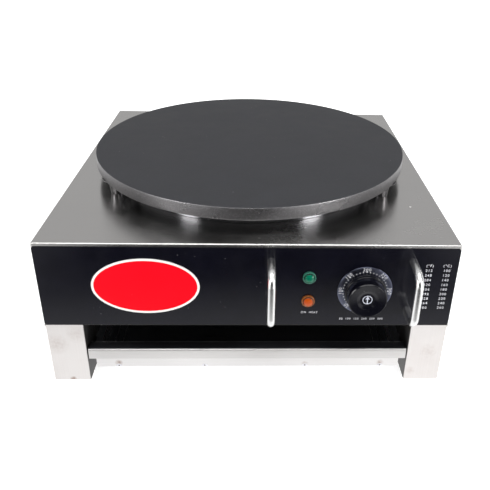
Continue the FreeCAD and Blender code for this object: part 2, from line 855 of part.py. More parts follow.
def passages(name, kinds):
    """Tools for what passes down through the heater pieces, with their clearance."""
    low = element_low_z - OVERRUN
    tall = clamp_top_z - low + OVERRUN
    tools = []
    if "tails" in kinds:
        for label, turn, gap in element_turns():
            x, y = tail_place(turn, gap)
            for side in (-1, 1):
                tools.append(rod(f"{name}_{label}_{side + 1}", (side * x, plate_y + y, low),
                                 s.element_radius + s.hole_play, tall))
    tools.append(rod(f"{name}_stud", (0, plate_y, low), s.stud_radius + s.hole_play, tall))
    tools.append(rod(f"{name}_capillary", (capillary_x(), bulb_y(), low),
                     s.capillary_radius + s.hole_play, tall))
    return tools


def bulb_y():
    """How far back the sensor bulb lies, midway between the turns of the elements."""
    return plate_y - (outer_turn + inner_turn) / 2


def bulb_z():
    """Height of the sensor bulb's axis, resting on the clamp plate."""
    return clamp_top_z + s.element_seat + s.bulb_radius


def capillary_x():
    """Where the capillary goes down through the heater pieces."""
    return s.bulb_length / 2 + s.capillary_lead


def lead_notch(name):
    """Tool for the bend of the capillary where it leaves the bulb."""
    width = 3 * s.bulb_radius
    drop = s.capillary_lead / 2
    return block(name, (capillary_x() - drop, bulb_y() - width / 2, bulb_z() - drop),
                 (drop + width / 2, width, drop * 2))


def tail_bay(name):
    """Tool for the bent ends of both elements, down to below their bends."""
    low = clamp_top_z - s.tail_bay_depth
    start = plate_y + inner_turn - s.element_bend
    return block(name, (-s.tail_bay_half, start, low),
                 (2 * s.tail_bay_half, outer_turn - inner_turn + 2 * s.element_bend, s.plate_rim))


def make_heater_stack():
    """Clamp plate, insulation board and polished drum below the elements."""
    clamp = rod("clamp_round", (0, plate_y, clamp_low_z), clamp_radius, s.clamp_thickness)
    clamp_tools = passages("clamp_way", ("stud",)) + [tail_bay("clamp_bay"), lead_notch("clamp_notch")]
    node(cut_away("clamp_plate", clamp, clamp_tools))
    board_low = drum_floor_z + s.drum_sheet
    board = rod("board_round", (0, plate_y, board_low), board_radius, clamp_low_z - board_low)
    board_tools = passages("board_way", ("tails", "stud")) + [tail_bay("board_bay"), lead_notch("board_notch")]
    node(cut_away("insulation_board", board, board_tools))
    drum_top = plate_under_z - s.drum_headroom
    drum = turned("drum_shell", [
        (0, drum_floor_z),
        (drum_radius, drum_floor_z),
        (drum_radius, drum_top),
        (drum_radius - s.drum_sheet, drum_top),
        (drum_radius - s.drum_sheet, board_low),
        (0, board_low),
    ], (0, plate_y, 0))
    node(cut_away("heater_pan", drum, passages("drum_way", ("tails", "stud"))))


def make_centre_fixing():
    """Stud, washer and nut that pull the drum, board and clamp plate up to the plate."""
    washer_z = drum_floor_z - s.washer_thickness
    nut_z = washer_z - s.centre_nut_height
    low = nut_z - s.stud_tip
    node(rod("centre_stud", (0, plate_y, low), s.stud_radius, boss_z + s.stud_bite - 0.5 - low))
    washer = rod("washer_round", (0, plate_y, washer_z), s.washer_radius, s.washer_thickness)
    washer_hole = rod("washer_hole", (0, plate_y, washer_z - OVERRUN), s.stud_radius + s.hole_play,
                      s.washer_thickness + 2 * OVERRUN)
    node(cut_away("centre_washer", washer, [washer_hole]))
    nut = hexagon("centre_nut_hex", (0, plate_y, nut_z), s.centre_nut_radius, s.centre_nut_height)
    nut_hole = rod("centre_nut_hole", (0, plate_y, nut_z - OVERRUN), s.stud_radius + s.thread_play,
                   s.centre_nut_height + 2 * OVERRUN)
    node(cut_away("centre_nut", nut, [nut_hole]))


def rounded_path(points):
    """Straight runs joined by tangent arcs, each as large as its two runs allow."""
    edges = []
    here = points[0]
    radii = []
    for before, corner, after in zip(points, points[1:], points[2:]):
        into = (corner - before).normalize()
        out = (after - corner).normalize()
        half = into.getAngle(out) / 2
        reach = 0.45 * min((corner - before).Length, (after - corner).Length)
        bend = reach / math.tan(half)
        start = corner - into * reach
        end = corner + out * reach
        inward = (out - into).normalize()
        middle = corner + inward * (bend / math.cos(half) - bend)
        edges.append(Part.LineSegment(here, start).toShape())
        edges.append(Part.Arc(start, middle, end).toShape())
        here = end
        radii.append(round(bend, 1))
    edges.append(Part.LineSegment(here, points[-1]).toShape())
    return Part.Wire(edges), radii


def tube_along(name, spots, radius):
    """Round tube along a route given by its corners."""
    points = [vector(spot) for spot in spots]
    path, radii = rounded_path(points)
    facing = points[1] - points[0]
    section = Part.Wire([Part.Circle(points[0], facing, radius.value).toShape()])
    tube = path.makePipeShell([section], True, False)
    print(f"{name}: bend radii {radii}")
    compare_volume(name, tube, radius.value, path.Length)
    return tube


def make_sensor():
    """Bulb on the clamp plate and the thin tube that joins it to the thermostat."""
    bulb = doc.addObject("Part::Cylinder", "sensor_bulb")
    tie(bulb, "Radius", s.bulb_radius)
    tie(bulb, "Height", s.bulb_length)
    lying = FreeCAD.Rotation(FreeCAD.Vector(0, 1, 0), 90)
    node(put(bulb, (-s.bulb_length / 2, bulb_y(), bulb_z()), lying))
    turn_z = knob_z + s.thermostat_width * 0.15
    entry_x = knob_x + s.thermostat_width / 4
    route = [
        (s.bulb_length / 2, bulb_y(), bulb_z()),
        (capillary_x(), bulb_y(), bulb_z()),
        (capillary_x(), bulb_y(), drum_floor_z - s.element_tail),
        (capillary_x() + s.capillary_lead / 2, bulb_y(), turn_z),
        (entry_x, bulb_y() - s.capillary_lead / 2, turn_z),
        (entry_x, thermostat_rear_y, turn_z),
    ]
    node(drawn("capillary_tube", tube_along("capillary_tube", route, s.capillary_radius)))


def make_thermostat():
    """Thermostat behind the front wall, with its two screws and its shaft."""
    half = s.thermostat_width / 2
    case = block("thermostat_case", (knob_x - half, inner_front_y, knob_z - half),
                 (s.thermostat_width, s.thermostat_depth, s.thermostat_width))
    bores = [rod("thermostat_shaft_bore", (knob_x, inner_front_y - OVERRUN, knob_z),
                 s.shaft_radius + s.shaft_play, s.shaft_bite + 1.0 + OVERRUN, BACK)]
    screws = []
    for side in (-1, 1):
        x = knob_x + side * s.thermostat_screw_reach
        bores.append(rod(f"thermostat_bore_{side + 1}", (x, inner_front_y - OVERRUN, knob_z),
                         s.thermostat_screw_radius + s.thread_play,
                         s.thermostat_screw_bite + 1.0 + OVERRUN, BACK))
        head_y = face_y - s.thermostat_screw_rise
        head = rod(f"thermostat_screw_head_{side + 1}", (x, head_y, knob_z), s.thermostat_screw_head,
                   s.thermostat_screw_rise, BACK)
        shank = rod(f"thermostat_screw_shank_{side + 1}", (x, head_y, knob_z), s.thermostat_screw_radius,
                    inner_front_y + s.thermostat_screw_bite - head_y, BACK)
        screws.append(joined(f"thermostat_screw_{side + 1}", [head, shank]))
    node(cut_away("thermostat_body", case, bores))
    node(grouped("thermostat_screws", screws))


def shaft_form(name, play):
    """Shaft with a flat along its front end, or the tool for its hole when play is given."""
    tip_y = dish_y + s.knob_wall
    root_y = inner_front_y + s.shaft_bite
    radius = s.shaft_radius + play
    bar = rod(f"{name}_bar", (knob_x, tip_y, knob_z), radius, root_y - tip_y, BACK)
    flat_low = knob_z + s.shaft_radius - s.shaft_flat + play
    flat = block(f"{name}_flat", (knob_x - radius, tip_y - OVERRUN, flat_low),
                 (2 * radius, face_y - s.knob_gap - s.dial_thickness - tip_y + OVERRUN, s.shaft_radius))
    return cut_away(name, bar, [flat])


def make_dial_and_knob():
    """Fixed dial ring, the knob that turns over it, and its shaft."""
    edge = s.dial_edge
    node(turned("dial_ring", [
        (s.dial_hole_radius, 0),
        (s.dial_radius, 0),
        (s.dial_radius, s.dial_thickness - edge),
        (s.dial_radius - edge, s.dial_thickness),
        (s.dial_hole_radius, s.dial_thickness),
    ], (knob_x, face_y, knob_z), FRONT))
    low = s.dial_thickness + s.knob_gap
    shoulder = low + s.knob_skirt_height
    dish_floor = s.knob_reach - s.knob_dish_depth
    ceiling = dish_floor - s.knob_wall
    form = turned("knob_form", [
        (0, dish_floor),
        (s.knob_floor_radius, dish_floor),
        (s.knob_slope_radius, s.knob_reach - s.knob_slope_depth),
        (s.knob_dish_radius, s.knob_reach),
        (s.knob_top_radius - s.knob_edge, s.knob_reach),
        (s.knob_top_radius, s.knob_reach - s.knob_edge),
        (s.knob_grip_radius, shoulder),
        (s.knob_skirt_radius - s.knob_edge / 2, shoulder),
        (s.knob_skirt_radius, shoulder - s.knob_edge / 2),
        (s.knob_skirt_radius, low),
        (s.knob_skirt_radius - s.knob_wall, low),
        (s.knob_top_radius - s.knob_wall, ceiling),
        (s.knob_boss_radius, ceiling),
        (s.knob_boss_radius, low),
        (0, low),
    ], (knob_x, face_y, knob_z), FRONT)
    node(cut_away("knob", form, [shaft_form("knob_bore", s.thread_play)]))
    node(shaft_form("thermostat_shaft", 0))


def make_knob_pointer():
    """White ring in the knob's dish with an arrow across it, pointing up at rest."""
    inner = s.pointer_radius - s.pointer_line
    ring = turned("pointer_ring", [
        (inner, 0),
        (s.pointer_radius, 0),
        (s.pointer_radius, s.pointer_height),
        (inner, s.pointer_height),
    ], (knob_x, dish_y, knob_z), FRONT)
    half = s.pointer_bar / 2
    # The shank and the head's tip run into the ring, so that ring and arrow are one piece.
    shank = block("pointer_shank", (knob_x - half, dish_y - s.pointer_height, knob_z - inner - s.pointer_line / 2),
                  (s.pointer_bar, s.pointer_height, 2 * inner + s.pointer_line))
    head = hexagon("pointer_head_form", (knob_x, dish_y, knob_z + inner - s.pointer_head), s.pointer_head,
                   s.pointer_height, FRONT)
    head.Polygon = 3
    head.Placement.Rotation = FRONT.multiply(FreeCAD.Rotation(UPWARD, 90))
    node(joined("knob_pointer", [ring, shank, head]))


def make_lamps():
    """Green and amber pilot lamps with bodies and nuts behind the wall."""
    bodies = []
    nuts = []
    tiers = (("green", s.lamp_high_lift), ("amber", s.lamp_low_lift))
    for colour, lift in tiers:
        z = base_z + lift
        node(turned(f"lamp_lens_{colour}", [
            (0, 0),
            (s.lens_radius, 0),
            (s.lens_radius, s.lens_rim),
            (s.lens_radius * 0.86, s.lens_rim + (s.lens_rise - s.lens_rim) * 0.55),
            (s.lens_radius * 0.5, s.lens_rim + (s.lens_rise - s.lens_rim) * 0.92),
            (0, s.lens_rise),
        ], (lamp_x, face_y, z), FRONT))
        barrel = rod(f"lamp_barrel_{colour}", (lamp_x, face_y, z), s.lamp_radius, s.lamp_depth, BACK)
        tabs = [block(f"lamp_tab_{colour}_{side + 1}",
                      (lamp_x - s.tab_width / 2, face_y + s.lamp_depth,
                       z + side * s.lamp_radius / 2 - s.tab_thickness / 2),
                      (s.tab_width, s.tab_length, s.tab_thickness)) for side in (-1, 1)]
        bodies.append(joined(f"lamp_body_{colour}", [barrel] + tabs))
        ring = hexagon(f"lamp_nut_hex_{colour}", (lamp_x, inner_front_y, z), s.lamp_nut_radius,
                       s.lamp_nut_height, BACK)
        hole = rod(f"lamp_nut_hole_{colour}", (lamp_x, inner_front_y - OVERRUN, z),
                   s.lamp_radius + s.thread_play, s.lamp_nut_height + 2 * OVERRUN, BACK)
        nuts.append(cut_away(f"lamp_nut_{colour}", ring, [hole]))
    node(grouped("lamp_bodies", bodies))
    node(grouped("lamp_nuts", nuts))


def make_guard_handles():
    """Two bent rods in front of the panel, screwed on from behind it."""
    bend = s.guard_bend
    out_y = face_y - s.guard_reach
    high_z = base_z + s.guard_high_lift
    low_z = base_z + s.guard_low_lift
    for name, x in (("guard_handle_left", guard_left_x), ("guard_handle_right", guard_right_x)):
        pieces = [rod(f"{name}_grip", (x, out_y, low_z + bend), s.guard_radius, high_z - low_z - 2 * bend)]
        bores = []
        ends = (("high", high_z, high_z - bend, TOWARD_FRONT, UPWARD),
                ("low", low_z, low_z + bend, -UPWARD, TOWARD_FRONT))
        for end, level, hub_z, first, last in ends:
            pieces.append(rod(f"{name}_{end}_arm", (x, face_y, level), s.guard_radius,
                              s.guard_reach - bend, FRONT))
            elbow = doc.addObject("Part::Torus", f"{name}_{end}_elbow")
            tie(elbow, "Radius1", bend)
            tie(elbow, "Radius2", s.guard_radius)
            elbow.Angle3 = 90
            # A quarter ring runs from its own X to its own Y direction.
            turn = FreeCAD.Rotation(first, last, first.cross(last), "XYZ")
            pieces.append(put(elbow, (x, out_y + bend, hub_z), turn))
            bores.append(rod(f"{name}_{end}_bore", (x, face_y + OVERRUN, level),
                             s.guard_screw_radius + s.thread_play, s.guard_screw_bite + 1.0 + OVERRUN, FRONT))
        node(cut_away(name, joined(f"{name}_bent", pieces), bores))
    screws = []
    for number, (x, lift) in enumerate(guard_ends()):
        spot = (x, inner_front_y + s.guard_screw_rise, base_z + lift)
        head = rod(f"handle_screw_head_{number}", spot, s.guard_screw_head, s.guard_screw_rise, FRONT)
        shank = rod(f"handle_screw_shank_{number}", spot, s.guard_screw_radius,
                    s.guard_screw_rise + s.sheet + s.overlay_thickness + s.guard_screw_bite, FRONT)
        screws.append(joined(f"handle_screw_{number}", [head, shank]))
    node(grouped("handle_screws", screws))


def make_tray():
    """Shallow pan with side flanges, a tall front wall and a folded lip."""
    half = tray_half
    sheet = s.tray_sheet
    outside = block("tray_outside", (-half, tray_front_y, s.tray_lift),
                    (2 * half, tray_length, s.tray_wall_height))
    room = block("tray_room", (-half + sheet, tray_front_y + sheet, s.tray_lift + sheet),
                 (2 * half - 2 * sheet, tray_length - 2 * sheet, s.tray_wall_height))
    pan = cut_away("tray_shell", outside, [room])
    front_wall = block("tray_front_wall", (-half, tray_front_y, s.tray_lift),
                       (2 * half, sheet, lip_top_z - s.lip_sheet - s.tray_lift))
    extras = [pan, front_wall]
    for side, start in (("left", -flange_half), ("right", half - sheet)):
        extras.append(block(f"tray_flange_{side}", (start, tray_front_y, tray_top_z - sheet),
                            (flange_half - half + sheet, tray_length, sheet)))
    outer_bead = half - s.tray_bead_outer_inset
    inner_bead = half - s.tray_bead_inner_inset
    for number, x in enumerate((-outer_bead, -inner_bead, inner_bead, outer_bead)):
        extras.append(block(f"tray_bead_{number}",
                            (x - s.tray_bead_width / 2, tray_front_y + s.tray_bead_margin, s.tray_lift + sheet / 2),
                            (s.tray_bead_width, tray_length - 2 * s.tray_bead_margin,
                             sheet / 2 + s.tray_bead_rise)))
    node(joined("tray_pan", extras))
    node(folded("tray_lip", [
        (front_y, s.lip_lift),
        (front_y + s.lip_sheet, s.lip_lift),
        (front_y + s.lip_sheet, lip_top_z - s.lip_sheet),
        (front_y + s.lip_depth - s.lip_sheet, lip_top_z - s.lip_sheet),
        (front_y + s.lip_depth - s.lip_sheet, lip_top_z - s.lip_return),
        (front_y + s.lip_depth, lip_top_z - s.lip_return),
        (front_y + s.lip_depth, lip_top_z),
        (front_y, lip_top_z),
    ], -flange_half, 2 * flange_half))


def make_tray_runners():
    """Inverted channels on the legs' inner faces, and the bar that stops the tray at the back."""
    runner_top = tray_top_z - s.tray_sheet - s.runner_play
    runner_low = runner_top - s.runner_height
    width = s.runner_width
    start_y = front_y + s.runner_setback
    length = s.body_depth - 2 * s.runner_setback
    for name, start in (("tray_runner_left", -leg_inner_x), ("tray_runner_right", runner_inner_x)):
        bar = block(f"{name}_bar", (start, start_y, runner_low), (width, length, s.runner_height))
        hollow = block(f"{name}_hollow", (start + s.runner_wall, start_y - OVERRUN, runner_low - OVERRUN),
                       (width - 2 * s.runner_wall, length + 2 * OVERRUN,
                        s.runner_height - s.runner_wall + OVERRUN))
        node(cut_away(name, bar, [hollow]))
    node(block("tray_stop_bar", (-runner_inner_x, tray_rear_y + s.runner_play, runner_low),
               (2 * runner_inner_x, s.stop_bar_depth, s.runner_height)))


def make_cable_gland():
    """Gland for the mains lead at the back: body, seal, dome nut and lock nut."""
    x = s.gland_from_side - side_x
    z = base_z + s.gland_lift
    collar = hexagon("gland_collar", (x, rear_y, z), s.gland_collar_radius, s.gland_collar_height, BACK)
    tail_y = inner_rear_y - s.gland_thread_inner
    tail = rod("gland_tail", (x, tail_y, z), s.gland_thread_radius, rear_y - tail_y, BACK)
    nose = rod("gland_nose", (x, rear_y + s.gland_collar_height, z), s.gland_nose_radius,
               s.gland_nose_height, BACK)
    bore = rod("gland_body_bore", (x, tail_y - OVERRUN, z), s.gland_bore,
               s.gland_reach + s.gland_thread_inner + 2 * OVERRUN, BACK)
    node(cut_away("gland_body", joined("gland_solid", [collar, tail, nose]), [bore]))
    seal_length = s.gland_collar_height + s.gland_nose_height - s.seal_start
    node(turned("gland_seal", [
        (s.seal_bore, s.seal_start),
        (s.gland_bore - s.thread_play, s.seal_start),
        (s.gland_bore - s.thread_play, s.seal_start + seal_length),
        (s.seal_bore, s.seal_start + seal_length),
    ], (x, rear_y, z), BACK))
    dome_low = s.gland_collar_height + s.dome_gap
    nose_top = s.gland_collar_height + s.gland_nose_height
    ledge = nose_top + s.thread_play
    node(turned("gland_dome_nut", [
        (s.gland_nose_radius + s.thread_play, dome_low),
        (s.dome_radius, dome_low),
        (s.dome_radius, nose_top),
        (s.dome_tip_radius, s.gland_reach),
        (s.dome_mouth, s.gland_reach),
        (s.dome_mouth, ledge),
        (s.gland_nose_radius + s.thread_play, ledge),
    ], (x, rear_y, z), BACK))
    nut = hexagon("gland_lock_hex", (x, inner_rear_y, z), s.gland_collar_radius, s.gland_nut_height, FRONT)
    hole = rod("gland_lock_hole", (x, inner_rear_y + OVERRUN, z), s.gland_thread_radius + s.thread_play,
               s.gland_nut_height + 2 * OVERRUN, FRONT)
    node(cut_away("gland_lock_nut", nut, [hole]))


def make_cutout():
    """Heat cut-out behind the rear wall, its nut and the button that resets it."""
    x = cutout_x
    z = base_z + s.cutout_lift
    case = rod("cutout_case", (x, inner_rear_y, z), s.cutout_radius, s.cutout_depth, FRONT)
    neck = rod("cutout_neck", (x, inner_rear_y, z), s.cutout_neck_radius, s.sheet + s.cutout_neck_height, BACK)
    solid = joined("cutout_solid", [case, neck])
    tip_y = rear_y + s.cutout_neck_height + s.button_rise
    button_low_y = tip_y - s.button_length
    bore_low_y = button_low_y - s.button_travel - s.button_play
    bore = rod("cutout_bore", (x, bore_low_y, z), s.button_radius + s.button_play,
               tip_y - bore_low_y, BACK)
    node(cut_away("cutout_body", solid, [bore]))
    nut = hexagon("cutout_nut_hex", (x, rear_y, z), s.cutout_nut_radius, s.cutout_nut_height, BACK)
    hole = rod("cutout_nut_hole", (x, rear_y - OVERRUN, z), s.cutout_neck_radius + s.thread_play,
               s.cutout_nut_height + 2 * OVERRUN, BACK)
    node(cut_away("cutout_nut", nut, [hole]))
    node(rod("reset_button", (x, button_low_y, z), s.button_radius, s.button_length, BACK))


def make_earth_stud():
    """Bonding stud through the rear wall with a nut on each side."""
    x = side_x - s.earth_from_side
    z = base_z + s.earth_lift
    node(rod("earth_stud", (x, inner_rear_y - s.earth_tail, z), s.earth_radius,
             s.earth_tail + s.sheet + s.earth_rise, BACK))
    nuts = []
    for name, start_y, turn in (("inner", inner_rear_y, FRONT), ("outer", rear_y, BACK)):
        body = hexagon(f"earth_nut_hex_{name}", (x, start_y, z), s.earth_nut_radius, s.earth_nut_height, turn)
        hole = rod(f"earth_nut_hole_{name}", (x, inner_rear_y - s.earth_tail, z),
                   s.earth_radius + s.thread_play, s.earth_tail + s.sheet + s.earth_rise, BACK)
        nuts.append(cut_away(f"earth_nut_{name}", body, [hole]))
    node(grouped("earth_nuts", nuts))


def terminal_front_y():
    """Front face of the terminal block."""
    return rear_y - s.terminal_from_rear - s.terminal_depth / 2


def make_terminal_block():
    """Screw terminal block on the floor sheet, with three sunk poles."""
    body = block("terminal_body", (terminal_x - s.terminal_width / 2, terminal_front_y(), floor_z),
                 (s.terminal_width, s.terminal_depth, s.terminal_height))
    poles = [rod(f"terminal_pole_{step + 1}",
                 (terminal_x + step * s.pole_pitch, terminal_front_y() + s.terminal_depth / 2,
                  floor_z + s.terminal_height - s.pole_depth), s.pole_radius, s.pole_depth + OVERRUN)
             for step in (-1, 0, 1)]
    node(cut_away("terminal_block", body, poles))


def make_internal_wires():
    """Wires between terminal block, thermostat, heating elements and cut-out."""
    low = floor_z + s.wire_floor
    lead = s.wire_lead
    high = low + 2.5 * s.wire_lift
    pole_y = terminal_front_y()
    outer_x, outer_y = tail_place(outer_turn, s.outer_gap)
    inner_x, inner_y = tail_place(inner_turn, s.inner_gap)
    case_rear_y = inner_rear_y - s.cutout_depth
    cutout_z = base_z + s.cutout_lift
    half = s.wire_pitch / 2
    feed_x = knob_x - s.thermostat_width / 4
    plug_z = knob_z - s.thermostat_width / 4
    routes = {
        "feed": [
            (terminal_x, pole_y, low),
            (terminal_x, pole_y - 2 * lead, low),
            (terminal_x / 2, middle_y, low),
            (feed_x, thermostat_rear_y + 2.5 * lead, low),
            (feed_x, thermostat_rear_y + lead, plug_z),
            (feed_x, thermostat_rear_y, plug_z),
        ],
        "heat": [
            (knob_x, thermostat_rear_y, plug_z),
            (knob_x, thermostat_rear_y + 1.25 * lead, plug_z),
            (knob_x * 0.8, middle_y - lead, low + s.wire_lift),
            (inner_x, plate_y + inner_y - 1.25 * lead, low + s.wire_lift),
            (inner_x, plate_y + inner_y, low + 2 * s.wire_lift),
            (inner_x, plate_y + inner_y, element_low_z),
        ],
        "link": [
            (outer_x, plate_y + outer_y, element_low_z),
            (outer_x, plate_y + outer_y, high),
            (outer_x + lead, case_rear_y - 0.9 * lead, high),
            (cutout_x - half, case_rear_y - 0.75 * lead, cutout_z),
            (cutout_x - half, case_rear_y, cutout_z),
        ],
        "bridge": [
            (-inner_x, plate_y + inner_y, element_low_z),
            (-inner_x, plate_y + inner_y, high),
            (-outer_x, plate_y + outer_y, high),
            (-outer_x, plate_y + outer_y, element_low_z),
        ],
        "return": [
            (terminal_x + s.pole_pitch, pole_y, low),
            (terminal_x + s.pole_pitch, pole_y - 0.6 * lead, low),
            (0, pole_y - 1.1 * lead, low),
            (cutout_x - lead, case_rear_y - 1.1 * lead, low),
            (cutout_x + half, case_rear_y - 0.75 * lead, cutout_z - half),
            (cutout_x + half, case_rear_y, cutout_z - half),
        ],
    }
    wires = [drawn(f"wire_{name}", tube_along(f"wire_{name}", route, s.wire_radius))
             for name, route in routes.items()]
    node(grouped("internal_wires", wires))


def check_nodes():
    """Stop unless every object and every node's shape is sound."""
    faults = [thing.Name for thing in doc.Objects if "Invalid" in thing.State or "Error" in thing.State]
    for part in nodes:
        if part.Shape.isNull() or not part.Shape.isValid() or not part.Shape.Solids:
            faults.append(part.Label)
    if faults:
        raise RuntimeError("failed: " + ", ".join(faults))


def main():
    """Build every piece and write each node."""
    panel_holes = front_holes()
    make_housing(panel_holes)
    make_front_overlay(panel_holes)
    make_badge_plate()
    make_base_pan()
    make_base_screws()
    make_legs()
    make_griddle_plate()
    make_plate_bolts()
    make_heating_elements()
    make_heater_stack()
    make_centre_fixing()
    make_sensor()
    make_thermostat()
    make_dial_and_knob()
    make_knob_pointer()
    make_lamps()
    make_guard_handles()
    make_tray()
    make_tray_runners()
    make_cable_gland()
    make_cutout()
    make_earth_stud()
    make_terminal_block()
    make_internal_wires()
    doc.recompute()
    check_nodes()
    os.makedirs("parts", exist_ok=True)
    for part in nodes:
        part.Shape.exportStep(f"parts/{part.Label}.step")
    print(f"{len(nodes)} nodes written")


main()
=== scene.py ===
import json
import logging
import math
from dataclasses import dataclass
from enum import Enum
from functools import cache
from typing import Callable, Sequence

import bmesh
import bpy
from mathutils import Matrix, Vector


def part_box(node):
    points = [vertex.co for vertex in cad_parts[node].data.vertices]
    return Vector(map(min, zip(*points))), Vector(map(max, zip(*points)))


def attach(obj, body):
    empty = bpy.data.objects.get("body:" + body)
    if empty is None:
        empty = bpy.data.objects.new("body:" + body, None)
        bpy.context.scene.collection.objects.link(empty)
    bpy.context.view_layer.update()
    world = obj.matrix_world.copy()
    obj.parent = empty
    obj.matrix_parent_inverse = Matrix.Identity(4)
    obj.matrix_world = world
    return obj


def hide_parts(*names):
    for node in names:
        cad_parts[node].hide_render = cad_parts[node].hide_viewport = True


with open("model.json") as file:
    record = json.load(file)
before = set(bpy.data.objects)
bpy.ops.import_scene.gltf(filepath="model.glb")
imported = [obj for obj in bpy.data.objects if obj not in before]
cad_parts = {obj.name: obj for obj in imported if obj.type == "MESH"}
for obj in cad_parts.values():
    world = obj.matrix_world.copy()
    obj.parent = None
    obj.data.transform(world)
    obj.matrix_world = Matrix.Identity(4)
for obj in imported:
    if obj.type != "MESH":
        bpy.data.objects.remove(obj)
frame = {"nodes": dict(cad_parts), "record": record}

log = logging.getLogger("crepe_maker")

MM = 0.001
NEXT_TO_NOTHING = 1e-7
Colour = tuple[float, float, float]
Place = tuple[float, float, float]
Range = tuple[float, float]
Socket = bpy.types.NodeSocket
Value = float | Socket
Mesh = bmesh.types.BMesh


class Direction(Enum):
    """Which way a turned piece's axis points, as a turn about X in degrees."""

    UP = 0.0
    FRONT = 90.0

    def matrix(self) -> Matrix:
        """Return the turn from a piece's own Z axis to this direction."""
        return Matrix.Rotation(math.radians(self.value), 4, "X")


class Grain(Enum):
    """Which way a brushed surface's lines run."""

    ALONG_X = (1.0, 0.0, 0.0)
    ALONG_Y = (0.0, 1.0, 0.0)
    ALONG_Z = (0.0, 0.0, 1.0)


class NodeBench:
    """Adds nodes to one tree and joins them."""

    def __init__(self, tree: bpy.types.NodeTree) -> None:
        """Keep the tree that nodes are added to."""
        self.tree = tree

    def add(self, kind: str, inputs: dict | None = None, **settings: object) -> bpy.types.Node:
        """Add a node.

        Args:
            kind: Blender's type name of the node, after ShaderNode.
            inputs: input name or number to a constant or to the socket that feeds it.
            settings: properties of the node itself.

        Returns:
            The new node.
        """
        node = self.tree.nodes.new(f"ShaderNode{kind}")
        for name, value in settings.items():
            setattr(node, name, value)
        for name, value in (inputs or {}).items():
            target = node.inputs[name]
            if isinstance(value, Socket):
                self.tree.links.new(value, target)
            else:
                target.default_value = value
        return node

    def maths(self, operation: str, first: Value, second: Value = 0.0, clamp: bool = False) -> Socket:
        """Return the result of a Math node on numbers or sockets."""
        return self.add("Math", {0: first, 1: second}, operation=operation, use_clamp=clamp).outputs[0]

    def times(self, first: Value, second: Value) -> Socket:
        """Return the product of two numbers or sockets."""
        return self.maths("MULTIPLY", first, second)

    def plus(self, first: Value, second: Value) -> Socket:
        """Return the sum of two numbers or sockets."""
        return self.maths("ADD", first, second)

    def vector(self, operation: str, first: Place | Socket,
               second: Place | Socket = (0.0, 0.0, 0.0)) -> Socket:
        """Return the result of a Vector Math node: a number for a length or a distance, else a vector."""
        node = self.add("VectorMath", {0: first, 1: second}, operation=operation)
        return node.outputs["Value" if operation in ("LENGTH", "DISTANCE") else "Vector"]

    def axis(self, vector: Socket, name: str) -> Socket:
        """Return the X, Y or Z part of a vector."""
        return self.add("SeparateXYZ", {0: vector}).outputs[name]

    def spread(self, value: Socket, low: float, high: float, to_low: float = 0.0,
               to_high: float = 1.0) -> Socket:
        """Return a value mapped from one range to another, clamped."""
        inputs = {"Value": value, "From Min": low, "From Max": high, "To Min": to_low, "To Max": to_high}
        return self.add("MapRange", inputs).outputs["Result"]

    def between(self, value: Socket, low: Range, high: Range) -> Socket:
        """Return 1 between two soft limits and 0 outside them, each limit given as its start and end."""
        return self.maths("MINIMUM", self.spread(value, *low), self.spread(value, *high, 1.0, 0.0))

    def blend(self, share: Value, first: Value, second: Value) -> Socket:
        """Return two numbers, or number sockets, mixed by a share."""
        return self.add("Mix", {"Factor": share, "A": first, "B": second}).outputs[0]

    def mixed(self, share: Value, first: Colour | Socket, second: Colour | Socket) -> Socket:
        """Mix two colours.

        Args:
            share: how much of the second colour the mix has.
            first: the colour where the share is 0.
            second: the colour where the share is 1.

        Returns:
            The mixed colour.
        """
        node = self.add("Mix", {"Factor": share}, data_type="RGBA")
        for socket, colour in ((node.inputs[6], first), (node.inputs[7], second)):
            if isinstance(colour, Socket):
                self.tree.links.new(colour, socket)
            else:
                socket.default_value = (*colour, 1.0)
        return node.outputs[2]

    def noise(self, vector: Socket, scale: Value, detail: float = 3.0, roughness: float = 0.5) -> Socket:
        """Return the value of a noise texture."""
        inputs = {"Vector": vector, "Scale": scale, "Detail": detail, "Roughness": roughness}
        return self.add("TexNoise", inputs).outputs["Fac"]


class GroupBench(NodeBench):
    """A shader node group with a Vector input, one more input and value outputs."""

    def __init__(self, name: str, label: str, default: float | None, outputs: Sequence[str]) -> None:
        """Start a group.

        Args:
            name: the group's name.
            label: the name of its second input.
            default: that input's first value, or None where it is a vector.
            outputs: the names of its outputs.
        """
        super().__init__(bpy.data.node_groups.new(name, "ShaderNodeTree"))
        face = self.tree.interface
        face.new_socket("Vector", in_out="INPUT", socket_type="NodeSocketVector")
        kind = "NodeSocketVector" if default is None else "NodeSocketFloat"
        socket = face.new_socket(label, in_out="INPUT", socket_type=kind)
        if default is not None:
            socket.default_value = default
        for output in outputs:
            face.new_socket(output, in_out="OUTPUT", socket_type="NodeSocketFloat")
        given = self.tree.nodes.new("NodeGroupInput")
        self.place, self.setting = given.outputs["Vector"], given.outputs[label]
        self.result = self.tree.nodes.new("NodeGroupOutput")

    def give(self, **values: Socket) -> bpy.types.NodeTree:
        """Finish the group.

        Args:
            values: what feeds each output, under the output's name.

        Returns:
            The group.
        """
        for label, value in values.items():
            self.tree.links.new(value, self.result.inputs[label])
        return self.tree


